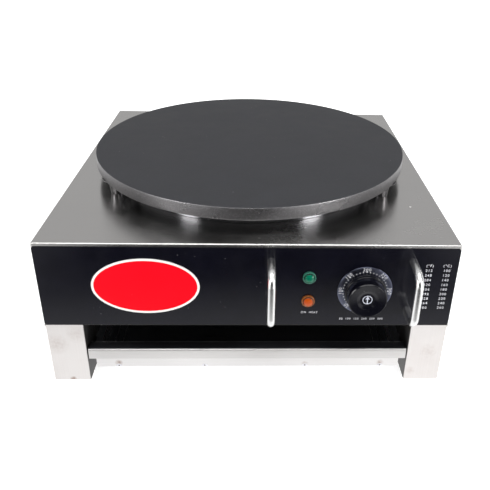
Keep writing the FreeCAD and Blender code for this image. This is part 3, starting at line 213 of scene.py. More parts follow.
class Effects:
    """Surface effects that several finishes share, as node groups made once."""

    @staticmethod
    @cache
    def brushed_lines() -> bpy.types.NodeTree:
        """Make long fine lines, stretched by the Stretch vector.

        Returns:
            The group, with the lines and a broad cloud.
        """
        bench = GroupBench("brushed_lines", "Stretch", None, ("Line", "Cloud"))
        stretched = bench.vector("MULTIPLY", bench.place, bench.setting)
        fine = bench.noise(stretched, 1.0, 2.0)
        broad = bench.noise(stretched, 0.24, 3.0, 0.6)
        both = bench.plus(bench.times(fine, 0.55), bench.times(broad, 0.45))
        cloud = bench.noise(bench.place, 9.0, 4.0, 0.6)
        return bench.give(Line=bench.spread(both, 0.3, 0.7), Cloud=bench.spread(cloud, 0.35, 0.65))

    @staticmethod
    @cache
    def cast_grain() -> bpy.types.NodeTree:
        """Make the small pits and lumps of a cast or moulded skin.

        Returns:
            The group, with the height and broad patches.
        """
        bench = GroupBench("cast_grain", "Scale", 900.0, ("Height", "Patch"))
        lumps = bench.noise(bench.place, bench.setting, 3.0, 0.6)
        cells = bench.add("TexVoronoi", {"Vector": bench.place, "Scale": bench.setting})
        height = bench.plus(bench.times(lumps, 0.7), bench.times(cells.outputs["Distance"], 0.3))
        patch = bench.noise(bench.place, bench.times(bench.setting, 0.02), 4.0, 0.6)
        return bench.give(Height=height, Patch=bench.spread(patch, 0.35, 0.65))

    @staticmethod
    @cache
    def handled() -> bpy.types.NodeTree:
        """Make the faint smears and dust specks that use leaves on a surface.

        Returns:
            The group, with a mask for each.
        """
        bench = GroupBench("handled", "Scale", 14.0, ("Smear", "Speck"))
        smear = bench.noise(bench.place, bench.setting, 5.0, 0.65)
        dots = bench.add("TexVoronoi", {"Vector": bench.place, "Scale": bench.times(bench.setting, 9.0)})
        chosen = bench.noise(bench.place, bench.times(bench.setting, 3.1), 1.0)
        near = bench.spread(dots.outputs["Distance"], 0.05, 0.09, 1.0, 0.0)
        speck = bench.times(near, bench.spread(chosen, 0.6, 0.64))
        return bench.give(Smear=bench.spread(smear, 0.4, 0.7), Speck=speck)

    @staticmethod
    @cache
    def edge_wear() -> bpy.types.NodeTree:
        """Mark convex edges, broken up by noise.

        Returns:
            The group, with the mask.
        """
        bench = GroupBench("edge_wear", "Amount", 0.5, ("Mask",))
        edge = bench.spread(bench.add("NewGeometry").outputs["Pointiness"], 0.515, 0.56)
        broken = bench.spread(bench.noise(bench.place, 180.0, 4.0, 0.6), 0.35, 0.6)
        return bench.give(Mask=bench.times(bench.times(edge, broken), bench.setting))


def shades(colour: Colour, less: float, more: float | None = None) -> tuple[Colour, Colour]:
    """Make a darker and a lighter shade of a colour.

    Args:
        colour: the colour between them.
        less: the share that the darker one loses.
        more: the share that the lighter one gains, or None where it is the same.

    Returns:
        The darker shade and the lighter one.
    """
    gain = less if more is None else more
    darker = tuple(part * (1.0 - less) for part in colour)
    return darker, tuple(min(1.0, part * (1.0 + gain)) for part in colour)


class Surface(NodeBench):
    """The node tree of one material, with its shader and its object coordinates."""

    def __init__(self, name: str, **plain: float) -> None:
        """Start a material.

        Args:
            name: the material's name.
            plain: constant values for the shader's sockets, with _ for a space.
        """
        self.material = bpy.data.materials.new(name)
        self.material.use_nodes = True
        super().__init__(self.material.node_tree)
        self.shader = self.tree.nodes["Principled BSDF"]
        self.place = self.add("TexCoord").outputs["Object"]
        for label, value in plain.items():
            self.shader.inputs[label.replace("_", " ")].default_value = value

    def effect(self, name: str, **values: float | Sequence[float]) -> bpy.types.Node:
        """Place one shared effect in the material.

        Args:
            name: the effect's name.
            values: this material's own values for the group's inputs.

        Returns:
            The group's node.
        """
        node = self.add("Group", node_tree=getattr(Effects, name)())
        self.tree.links.new(self.place, node.inputs["Vector"])
        for label, value in values.items():
            node.inputs[label].default_value = value
        return node

    def feed(self, label: str, source: Socket) -> None:
        """Join a socket to one of the shader's inputs."""
        self.tree.links.new(source, self.shader.inputs[label])

    def normal(self) -> Socket:
        """Return which way the surface faces."""
        return self.add("NewGeometry").outputs["Normal"]

    def brush(self, grain: Grain) -> None:
        """Spread reflections across the lines of a brushed surface."""
        across = self.vector("CROSS_PRODUCT", self.normal(), grain.value)
        self.feed("Tangent", self.vector("ADD", across, (0.001, 0.002, 0.0015)))

    def roughen(self, base: float, *parts: tuple[Socket, float]) -> None:
        """Make the roughness vary over the surface.

        Args:
            base: the least roughness.
            parts: values that add to it, each with the share that it adds.
        """
        total = base
        for value, share in parts:
            total = self.plus(self.times(value, share), total)
        self.feed("Roughness", total)

    def bump(self, height: Socket, strength: float, distance: float) -> None:
        """Raise the surface by a height value."""
        node = self.add("Bump", {"Height": height, "Strength": strength, "Distance": distance})
        self.feed("Normal", node.outputs["Normal"])


@dataclass(frozen=True)
class Stain:
    """One heat or weld stain: where it is in millimetres, how far it reaches and how strong it is."""

    x: float
    y: float
    z: float
    reach: float
    strength: float = 0.4


@dataclass(frozen=True)
class BrushedSteel:
    """Stainless sheet with lines along one axis, faint clouds, smears, heat tint and optional painted
    shade.
    """

    name: str
    colour: Colour = (0.60, 0.59, 0.575)
    roughness: float = 0.3
    contrast: float = 0.12
    grain: Grain = Grain.ALONG_X
    line_length: float = 22.0
    line_width: float = 1500.0
    tint: float = 0.0
    metallic: float = 1.0
    anisotropic: float = 0.75
    relief: float = 0.08
    streak: float = 0.12
    # painted shade: how much faces that look up are darkened, for the shadow and dark reflections in the
    # tray bay
    dark_top: float = 0.0
    # painted shade: how much faces that look towards the object's middle are darkened, for the shade inside
    # the legs
    dark_inward: float = 0.0
    stains: tuple[Stain, ...] = ()
    stain_colour: Colour = (0.30, 0.17, 0.12)

    def stained(self, skin: Surface) -> Socket:
        """Work out how strongly each place is stained, from the broad tint and the single stains.

        Args:
            skin: the material's tree.

        Returns:
            The stains' share.
        """
        share = skin.times(skin.spread(skin.noise(skin.place, 11.0, 4.0, 0.6), 0.5, 0.72), self.tint)
        ragged = skin.spread(skin.noise(skin.place, 260.0, 4.0, 0.65), 0.3, 0.62, 0.2, 1.0)
        for stain in self.stains:
            away = skin.vector("DISTANCE", skin.place, (stain.x * MM, stain.y * MM, stain.z * MM))
            reach = stain.reach * MM
            near = skin.spread(away, reach * 0.2, reach, stain.strength, 0.0)
            share = skin.maths("MAXIMUM", share, skin.times(near, ragged))
        return share

    def shaded(self, skin: Surface, colour: Socket) -> Socket:
        """Paint shade on the faces that look up, or towards the object's middle, for the dark bay's shadow
        and reflections.

        Args:
            skin: the material's tree.
            colour: the steel's colour before that.

        Returns:
            The colour after it.
        """
        if self.dark_top:
            upward = skin.spread(skin.axis(skin.normal(), "Z"), 0.6, 0.97, 0.0, self.dark_top)
            # painted shade and dark reflection on upward faces
            colour = skin.mixed(upward, colour, (0.018, 0.020, 0.028))
        if self.dark_inward:
            side = skin.maths("SIGN", skin.axis(skin.place, "X"))
            inward = skin.times(skin.axis(skin.normal(), "X"), side)
            share = skin.spread(inward, -0.9, -0.5, self.dark_inward, 0.0)
            # painted shade on faces that look inward
            colour = skin.mixed(share, colour, (0.03, 0.03, 0.03))
        return colour

    def build(self) -> bpy.types.Material:
        """Build the brushed sheet's tree.

        Returns:
            The material.
        """
        skin = Surface(self.name, Metallic=self.metallic, Anisotropic=self.anisotropic)
        skin.brush(self.grain)
        stretch = [self.line_length if along else self.line_width for along in self.grain.value]
        lines = skin.effect("brushed_lines", Stretch=stretch).outputs
        marks = skin.effect("handled").outputs
        colour = skin.mixed(lines["Line"], *shades(self.colour, self.contrast))
        colour = skin.mixed(self.stained(skin), colour, self.stain_colour)
        colour = skin.mixed(skin.times(marks["Speck"], 0.35), colour, (0.9, 0.9, 0.9))
        skin.feed("Base Color", self.shaded(skin, colour))
        skin.roughen(self.roughness, (lines["Line"], self.streak), (lines["Cloud"], 0.06),
                     (marks["Smear"], 0.07))
        skin.bump(lines["Line"], self.relief, 0.00006)
        return skin.material


@dataclass(frozen=True)
class Polished:
    """Mirror-bright metal with hairlines and a little bloom."""

    name: str
    colour: Colour = (0.80, 0.80, 0.80)
    roughness: float = 0.22
    anisotropic: float = 0.85

    def build(self) -> bpy.types.Material:
        """Build the bright metal's tree.

        Returns:
            The material.
        """
        skin = Surface(self.name, Metallic=1.0, Anisotropic=self.anisotropic)
        skin.brush(Grain.ALONG_X)
        lines = skin.effect("brushed_lines", Stretch=(60.0, 60.0, 900.0)).outputs
        marks = skin.effect("handled", Scale=30.0).outputs
        skin.feed("Base Color", skin.mixed(lines["Cloud"], *shades(self.colour, 0.08, 0.0)))
        skin.roughen(self.roughness, (marks["Smear"], 0.05), (lines["Line"], 0.03))
        skin.bump(lines["Line"], 0.08, 0.00003)
        return skin.material


@dataclass(frozen=True)
class SpunRing:
    """Dark metal turned on a lathe: rings round an axis along Y."""

    name: str
    centre: Place
    colour: Colour = (0.15, 0.16, 0.22)
    roughness: float = 0.28
    ring_scale: float = 1500.0

    def build(self) -> bpy.types.Material:
        """Build the turned metal's tree.

        Returns:
            The material.
        """
        skin = Surface(self.name, Metallic=1.0, Anisotropic=0.9, Anisotropic_Rotation=0.25)
        flat = skin.vector("MULTIPLY", skin.vector("SUBTRACT", skin.place, self.centre), (1.0, 0.0, 1.0))
        radius = skin.add("CombineXYZ", {"X": skin.vector("LENGTH", flat)}).outputs[0]
        rings = skin.noise(radius, self.ring_scale, 2.0)
        skin.feed("Base Color", skin.mixed(rings, *shades(self.colour, 0.1)))
        skin.feed("Roughness", skin.spread(rings, 0.3, 0.7, self.roughness - 0.05, self.roughness + 0.08))
        tangent = skin.add("Tangent", direction_type="RADIAL", axis="Y")
        skin.feed("Tangent", tangent.outputs[0])
        skin.bump(rings, 0.1, 0.00004)
        return skin.material


@dataclass(frozen=True)
class CastCoating:
    """Coated or raw cast iron with fine grain and a broad, uneven sheen."""

    name: str
    colour: Colour
    worn: Colour
    roughness: float = 0.5
    grain_scale: float = 1400.0
    grain_depth: float = 0.00006
    grain_strength: float = 0.35
    wear: float = 0.4
    metallic: float = 0.0
    sheen_patch: float = 0.08

    def build(self) -> bpy.types.Material:
        """Build the cast iron's tree.

        Returns:
            The material.
        """
        skin = Surface(self.name, Metallic=self.metallic)
        grain = skin.effect("cast_grain", Scale=self.grain_scale).outputs
        worn = skin.effect("edge_wear", Amount=self.wear).outputs
        marks = skin.effect("handled", Scale=10.0).outputs
        colour = skin.mixed(grain["Patch"], *shades(self.colour, 0.1, 0.12))
        pits = skin.spread(grain["Height"], 0.42, 0.62, -0.2, 0.35)
        colour = skin.mixed(skin.maths("MULTIPLY", pits, 0.5, clamp=True), colour, self.worn)
        colour = skin.mixed(worn["Mask"], colour, self.worn)
        colour = skin.mixed(skin.times(marks["Speck"], 0.2), colour, (0.5, 0.5, 0.5))
        skin.feed("Base Color", colour)
        skin.roughen(self.roughness, (grain["Patch"], self.sheen_patch), (marks["Smear"], 0.05))
        skin.bump(grain["Height"], self.grain_strength, self.grain_depth)
        return skin.material


@dataclass(frozen=True)
class Moulded:
    """Plastic, rubber, board or print: a colour with grain, smears and specks."""

    name: str
    colour: Colour
    roughness: float = 0.4
    grain_scale: float = 2200.0
    grain_strength: float = 0.12
    speck: float = 0.25
    variation: float = 0.12
    specular: float = 0.5

    def build(self) -> bpy.types.Material:
        """Build the plastic's tree.

        Returns:
            The material.
        """
        skin = Surface(self.name, Specular_IOR_Level=self.specular)
        grain = skin.effect("cast_grain", Scale=self.grain_scale).outputs
        marks = skin.effect("handled", Scale=18.0).outputs
        colour = skin.mixed(grain["Patch"], *shades(self.colour, self.variation))
        dust = skin.times(marks["Speck"], self.speck)
        skin.feed("Base Color", skin.mixed(dust, colour, (0.45, 0.45, 0.47)))
        skin.roughen(self.roughness, (grain["Patch"], 0.05), (marks["Smear"], 0.09))
        skin.bump(grain["Height"], self.grain_strength, 0.00005)
        return skin.material


@dataclass(frozen=True)
class LampGlass:
    """Tinted clear plastic of a pilot lamp's cap."""

    name: str
    colour: Colour
    glow: float = 0.12
    clear: float = 0.3

    def build(self) -> bpy.types.Material:
        """Build the clear cap's tree.

        Returns:
            The material.
        """
        skin = Surface(self.name, Transmission_Weight=self.clear, IOR=1.49, Emission_Strength=self.glow)
        grain = skin.effect("cast_grain", Scale=500.0).outputs
        colour = skin.mixed(grain["Patch"], *shades(self.colour, 0.45, 0.0))
        skin.feed("Base Color", colour)
        skin.feed("Emission Color", colour)
        skin.feed("Roughness", skin.spread(grain["Patch"], 0.0, 1.0, 0.06, 0.14))
        skin.bump(grain["Height"], 0.1, 0.0001)
        return skin.material


class Shelf:
    """Every finish of the object, built once and handed out by name."""

    leg_stains = (
        Stain(-203.0, -217.0, 1.0, 4.5, 0.95), Stain(-216.0, -217.0, 52.0, 16.0, 0.22),
        Stain(-192.0, -217.0, 66.0, 14.0, 0.16), Stain(207.0, -217.0, 40.0, 15.0, 0.22),
        Stain(190.0, -217.0, 12.0, 9.0, 0.25),
    )
    tray_stains = (
        Stain(-149.0, -215.7, 24.5, 5.0, 0.7), Stain(-51.0, -215.7, 20.5, 4.0, 0.3),
        Stain(65.0, -215.7, 22.0, 5.0, 0.5), Stain(153.0, -215.7, 24.0, 5.0, 0.6),
    )

    def __init__(self, knob_centre: Vector) -> None:
        """Build the finishes.

        Args:
            knob_centre: the axis of the dial's rings.
        """
        finishes = (
            BrushedSteel("brushed_stainless", (0.57, 0.56, 0.55), 0.165, contrast=0.03, anisotropic=0.72,
                         relief=0.012, streak=0.02),
            # legs: painted shade on their inner faces
            BrushedSteel("leg_steel", (0.88, 0.85, 0.835), 0.36, contrast=0.03, grain=Grain.ALONG_Z,
                         tint=0.10, dark_inward=0.92, stains=self.leg_stains),
            # tray and lip: painted near-black shade and dark reflection on their upward faces
            BrushedSteel("tray_steel", (0.90, 0.885, 0.88), 0.24, contrast=0.04, tint=0.05,
                         dark_top=0.97, stains=self.tray_stains),
            BrushedSteel("lip_steel", (0.76, 0.745, 0.735), 0.24, contrast=0.07, tint=0.05,
                         dark_top=0.96),
            BrushedSteel("plain_steel", (0.60, 0.60, 0.60), 0.3),
            # near-black sheet for the base pan: painted shade of the dark tray bay
            BrushedSteel("painted_shade_sheet", (0.03, 0.03, 0.03), 0.6, metallic=0.3),
            BrushedSteel("element_metal", (0.22, 0.20, 0.18), 0.5, tint=0.4),
            BrushedSteel("copper", (0.72, 0.40, 0.27), 0.3),
            BrushedSteel("brass", (0.72, 0.55, 0.25), 0.28),
            Polished("polished_steel", (0.40, 0.40, 0.42), 0.15),
            Polished("handle_chrome", (0.93, 0.93, 0.93), 0.19),
            SpunRing("dial_metal", tuple(knob_centre)),
            CastCoating("griddle_coating", (0.026, 0.027, 0.032), (0.09, 0.09, 0.095), 0.60),
            CastCoating("griddle_rim", (0.19, 0.185, 0.19), (0.60, 0.59, 0.59), 0.24, grain_scale=800.0,
                        grain_depth=0.0003, grain_strength=1.0, wear=0.8, metallic=0.9),
            # the plate's underside: dark iron painted near-black, for the shade under the plate
            CastCoating("griddle_underside_painted_shade", (0.006, 0.006, 0.006), (0.02, 0.02, 0.02), 0.7, wear=0.2),
            Moulded("panel_black", (0.003, 0.003, 0.007), 0.15, grain_scale=1600.0, grain_strength=0.02,
                    specular=0.3),
            Moulded("badge_red", (0.86, 0.002, 0.012), 0.35, variation=0.03, specular=0.05),
            Moulded("print_white", (0.80, 0.80, 0.84), 0.45),
            Moulded("badge_white", (0.86, 0.85, 0.82), 0.35, variation=0.03),
            Moulded("insulation", (0.80, 0.77, 0.70), 0.9, grain_scale=500.0, grain_strength=0.6),
            Moulded("thermostat_case", (0.10, 0.09, 0.08), 0.5),
            Moulded("knob_black", (0.003, 0.003, 0.006), 0.12, grain_strength=0.03, specular=0.35),
            Moulded("pointer_white", (0.58, 0.60, 0.68), 0.4),
            Moulded("lamp_plastic", (0.02, 0.02, 0.02), 0.45),
            Moulded("button_red", (0.55, 0.02, 0.02), 0.35),
            Moulded("gland_plastic", (0.03, 0.03, 0.032), 0.42),
            Moulded("seal_rubber", (0.02, 0.02, 0.02), 0.75),
            Moulded("wire_sleeve", (0.75, 0.72, 0.64), 0.8, grain_scale=1200.0, grain_strength=0.5),
            LampGlass("lens_green", (0.0, 0.22, 0.12)),
            LampGlass("lens_amber", (0.70, 0.10, 0.003)),
            # lighter, faintly glowing copies of the lens plastic: a painted ring of highlight round each
            # cap
            LampGlass("lens_rim_green", (0.10, 0.42, 0.30), 0.04, 0.6),
            LampGlass("lens_rim_amber", (0.62, 0.22, 0.06), 0.04, 0.6),
        )
        self.materials = {finish.name: finish.build() for finish in finishes}
        self.materials["satin_stainless"] = self.materials["leg_steel"]

    def __getitem__(self, name: str) -> bpy.types.Material:
        """Return one material."""
        return self.materials[name]


def linked(name: str, data: bpy.types.ID) -> bpy.types.Object:
    """Add an object to the scene.

    Args:
        name: the object's name.
        data: its mesh, lamp, curve or camera.

    Returns:
        The new object.
    """
    thing = bpy.data.objects.new(name, data)
    bpy.context.scene.collection.objects.link(thing)
    return thing


def circle(radius: float, steps: int, whole: float = 2 * math.pi) -> list[Vector]:
    """Return flat points round a circle, or round a part of it."""
    return [Vector((radius * math.cos(whole * step / steps), radius * math.sin(whole * step / steps), 0.0))
            for step in range(steps)]


def measured(node: str) -> tuple[Vector, Vector, Vector, float]:
    """Return the low corner, high corner, middle and half width of a CAD node's box."""
    low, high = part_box(node)
    return low, high, (low + high) / 2, (high.x - low.x) / 2


def softened(corners: Sequence[tuple], steps: int = 6, closed: bool = False) -> list[Vector]:
    """Round the corners of a line.

    Args:
        corners: points of any dimension with a radius as their last number.
        steps: straight pieces in each rounded corner.
        closed: whether the line joins up.

    Returns:
        The points of the rounded line.
    """
    spots = [Vector((*corner[:-1], 0.0)) if len(corner) == 3 else Vector(corner[:-1]) for corner in corners]
    count = len(spots)
    line: list[Vector] = []
    for index, spot in enumerate(spots):
        radius = corners[index][-1]
        if radius <= 0 or (not closed and index in (0, count - 1)):
            line.append(spot)
            continue
        before = (spots[index - 1] - spot).normalized()
        after = (spots[(index + 1) % count] - spot).normalized()
        half = before.angle(after) / 2
        hub = spot + (before + after).normalized() * (radius / math.sin(half))
        first = spot + before * (radius / math.tan(half)) - hub
        last = spot + after * (radius / math.tan(half)) - hub
        whole = first.angle(last)
        for step in range(steps + 1):
            share = step / steps
            mix = (first * math.sin((1 - share) * whole) + last * math.sin(share * whole)) / math.sin(whole)
            line.append(hub + mix)
    return line


@dataclass
class Workshop:
    """Makes meshes in the object's own frame and hands them over as pieces."""

    shelf: Shelf
    size_of_letter: float = 1.4
    letter_spacing: float = 1.25

    def piece(self, name: str, bm: Mesh, finishes: Sequence[str], slot: str = "", stands_for: str = "",
              body: str = "chassis", smooth: float = 35.0) -> None:
        """Turn a bmesh into a finished piece.

        Args:
            name: the piece's name.
            bm: its mesh, in metres, which is freed.
            finishes: materials in the order of the faces' indices.
            slot: the record's material slot; not used.
            stands_for: the CAD node that it replaces, if any.
            body: the CAD body that it rides on.
            smooth: faces that meet at less than this angle in degrees are shaded as one.
        """
        bmesh.ops.recalc_face_normals(bm, faces=bm.faces)
        mesh = bpy.data.meshes.new(name)
        bm.to_mesh(mesh)
        bm.free()
        mesh.polygons.foreach_set("use_smooth", [True] * len(mesh.polygons))
        mesh.set_sharp_from_angle(angle=math.radians(smooth))
        thing = linked(name, mesh)
        for finish in finishes:
            mesh.materials.append(self.shelf[finish])
        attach(thing, body)
        if stands_for:
            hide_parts(stands_for)
        log.info("%s: %d faces", name, len(mesh.polygons))

    @staticmethod
    def bridge(bm: Mesh, rings: Sequence[Sequence[bmesh.types.BMVert]],
               closed: bool = False) -> list[bmesh.types.BMFace]:
        """Join each ring of points to the next with faces.

        Args:
            bm: the mesh that the points are in.
            rings: the rings in order; a ring of one point is a tip.
            closed: whether the last ring joins the first.

        Returns:
            The new faces.
        """
        faces = []
        for low, high in zip(rings, [*rings[1:], rings[0]] if closed else rings[1:]):
            for step in range(max(len(low), len(high))):
                corners = (low[step % len(low)], low[(step + 1) % len(low)],
                           high[(step + 1) % len(high)], high[step % len(high)])
                unique = list(dict.fromkeys(corners))
                if len(unique) > 2:
                    faces.append(bm.faces.new(unique))
        return faces

    @staticmethod
    def turn(bm: Mesh, line: Sequence[Vector | Range], centre: Vector, facing: Direction = Direction.UP,
             steps: int = 96, closed: bool = False) -> list[bmesh.types.BMFace]:
        """Add a turned form to a bmesh.

        Args:
            bm: the mesh that it is added to.
            line: radius and height of each point of the section.
            centre: where the form's axis and height zero are.
            facing: which way the axis points.
            steps: faces round the axis.
            closed: whether the section joins up, as a ring's does.

        Returns:
            The new faces.
        """
        place = Matrix.Translation(centre) @ facing.matrix()
        rings = []
        for spot in map(Vector, line):
            around = circle(spot.x, steps if spot.x > NEXT_TO_NOTHING else 1)
            rings.append([bm.verts.new(place @ Vector((flat.x, flat.y, spot.y))) for flat in around])
        return Workshop.bridge(bm, rings, closed)

    @staticmethod
    def sweep(bm: Mesh, path: Sequence[Vector], radius: float, sides: int = 24) -> None:
        """Add a round bar with flat ends.

        Args:
            bm: the mesh that it is added to.
            path: the bar's middle line, in a plane across X.
            radius: the bar's radius.
            sides: faces round the bar.
        """
        side = Vector((1.0, 0.0, 0.0))
        rings = []
        for index, spot in enumerate(path):
            along = path[min(index + 1, len(path) - 1)] - path[max(index - 1, 0)]
            other = along.normalized().cross(side)
            rings.append([bm.verts.new(spot + side * flat.x + other * flat.y)
                          for flat in circle(radius, sides)])
        Workshop.bridge(bm, rings)
        bm.faces.new(rings[0])
        bm.faces.new(rings[-1])

    @staticmethod
    def prism(bm: Mesh, outline: Sequence[Vector], lift: Callable[[Vector, float], Vector],
              depth: float, edge: float = 0.0) -> None:
        """Add a slab with an outline and a small bevel at its far face.

        Args:
            bm: the mesh that it is added to.
            outline: its flat outline.
            lift: gives the place of an outline point at a depth.
            depth: its thickness.
            edge: the bevel's size.
        """
        middle = sum(outline, Vector((0.0, 0.0, 0.0))) / len(outline)
        levels = [(0.0, 0.0), (depth - edge, 0.0)]
        if edge:
            levels += [(depth - edge * 0.3, edge * 0.3), (depth, edge)]
        rings = []
        for level, inset in levels:
            reaches = [spot - middle for spot in outline]
            rings.append([bm.verts.new(lift(middle + reach * (1.0 - inset / reach.length), level))
                          for reach in reaches])
        Workshop.bridge(bm, rings)
        bm.faces.new(rings[-1])
        bm.faces.new(rings[0])

    def lettering(self, name: str, words: Sequence[tuple[str, float, float, float, float]], face_y: float,
                  thickness: float) -> None:
        """Print words on a face that looks to the front.

        Args:
            name: the piece's name.
            words: text, place across, height of its middle, letter height and turn in degrees.
            face_y: where the printed face is.
            thickness: how far the ink stands out.
        """
        bm = bmesh.new()
        for text, x, z, height, turn in words:
            curve = bpy.data.curves.new(name, "FONT")
            curve.body = text
            curve.size = height * self.size_of_letter
            curve.space_character = self.letter_spacing
            curve.align_x = "CENTER"
            curve.align_y = "CENTER"
            curve.extrude = thickness / 2
            curve.resolution_u = 3
            shape = linked(name, curve)
            bpy.context.view_layer.update()
            mesh = shape.to_mesh()
            place = (Matrix.Translation((x, face_y - thickness / 2, z)) @ Direction.FRONT.matrix()
                     @ Matrix.Rotation(math.radians(-turn), 4, "Z"))
            mesh.transform(place)
            bm.from_mesh(mesh)
            shape.to_mesh_clear()
            bpy.data.objects.remove(shape)
        self.piece(name, bm, ["print_white"], "pointer_white")


@dataclass
class Griddle:
    """The cast plate with its feet, and the polished drum below it."""

    shop: Workshop
    top_edge: float = 1.5 * MM
    rim_edge: float = 1.0 * MM
    rim_height: float = 15.0 * MM
    rim_width: float = 24.0 * MM
    thickness: float = 9.0 * MM
    foot_low: float = 6.2 * MM
    foot_high: float = 8.5 * MM
    foot_flare: float = 4.0 * MM
    foot_inset: float = 13.0 * MM
    drum_roll: float = 1.3 * MM
    drum_sheet: float = 0.8 * MM

    def build(self) -> None:
        """Make both pieces."""
        self.make_plate()
        self.make_drum()

    def make_plate(self) -> None:
        """Turn the plate and its three feet."""
        low, high, centre, radius = measured("griddle_plate")
        centre.z = 0.0
        rim = high.z - self.rim_height
        under = high.z - self.thickness
        inside = radius - self.rim_width
        bm = bmesh.new()
        line = softened([
            (0.0, high.z, 0.0), (radius, high.z, self.top_edge), (radius, rim, self.rim_edge),
            (inside, rim, self.rim_edge), (inside, under, 2 * self.rim_edge), (0.0, under, 0.0),
        ], 7)
        self.shop.turn(bm, line, centre, steps=256)
        for face in bm.faces:
            spot = face.calc_center_median()
            if spot.z < high.z - self.top_edge * 0.35:
                away = math.hypot(spot.x - centre.x, spot.y - centre.y)
                # the rim's outer wall gets the rim's iron; the rest below the top gets the near-black
                # underside, painted shade under the plate
                face.material_index = 1 if away > radius - 2 * self.rim_edge else 2
        spread = self.foot_high + 1.6 * self.foot_flare
        for number in range(3):
            angle = math.radians(90.0 + 120.0 * number)
            reach = radius - self.foot_inset
            spot = centre + Vector((reach * math.cos(angle), reach * math.sin(angle), 0.0))
            foot = softened([
                (0.0, low.z, 0.0), (self.foot_low, low.z, 0.7 * MM),
                (self.foot_high, rim - 0.2 * MM, self.foot_flare),
                (spread, rim, 0.0), (spread, rim + 0.5 * MM, 0.0),
            ], 8)
            for face in self.shop.turn(bm, foot, spot, steps=48):
                face.material_index = 1
        finishes = ["griddle_coating", "griddle_rim", "griddle_underside_painted_shade"]
        self.shop.piece("griddle_plate_cast", bm, finishes, stands_for="griddle_plate")

    def make_drum(self) -> None:
        """Turn the drum, with a rolled edge at its top."""
        low, high, centre, radius = measured("heater_pan")
        centre.z = 0.0
        roll = self.drum_roll
        curl = radius - 2.4 * roll
        inside = radius - self.drum_sheet
        bm = bmesh.new()
        line = softened([
            (0.0, low.z, 0.0), (radius, low.z, 3 * MM), (radius, high.z, roll),
            (curl, high.z, roll * 0.9), (curl, high.z - 2 * roll, 0.0), (inside, high.z - 3 * roll, 0.0),
            (inside, low.z + self.drum_sheet, 2 * MM), (0.0, low.z + self.drum_sheet, 0.0),
        ], 6)
        self.shop.turn(bm, line, centre, steps=256)
        self.shop.piece("heater_drum", bm, ["polished_steel"], stands_for="heater_pan")


@dataclass
class Shell:
    """A small white dot on the steel body's top."""

    shop: Workshop
    fleck_place: Range = (189.9 * MM, -133.7 * MM)
    fleck_radius: float = 1.2 * MM

    def build(self) -> None:
        """Put the small white dot on the right of the top."""
        _, high, middle, _ = measured("housing")
        x, y = self.fleck_place
        bm = bmesh.new()
        rise = 0.08 * MM
        line = [(self.fleck_radius, 0.0), (self.fleck_radius * 0.8, rise), (0.0, rise)]
        Workshop.turn(bm, line, Vector((x, middle.y + y, high.z)), steps=16)
        self.shop.piece("top_white_dot", bm, ["badge_white"], "brushed_stainless")


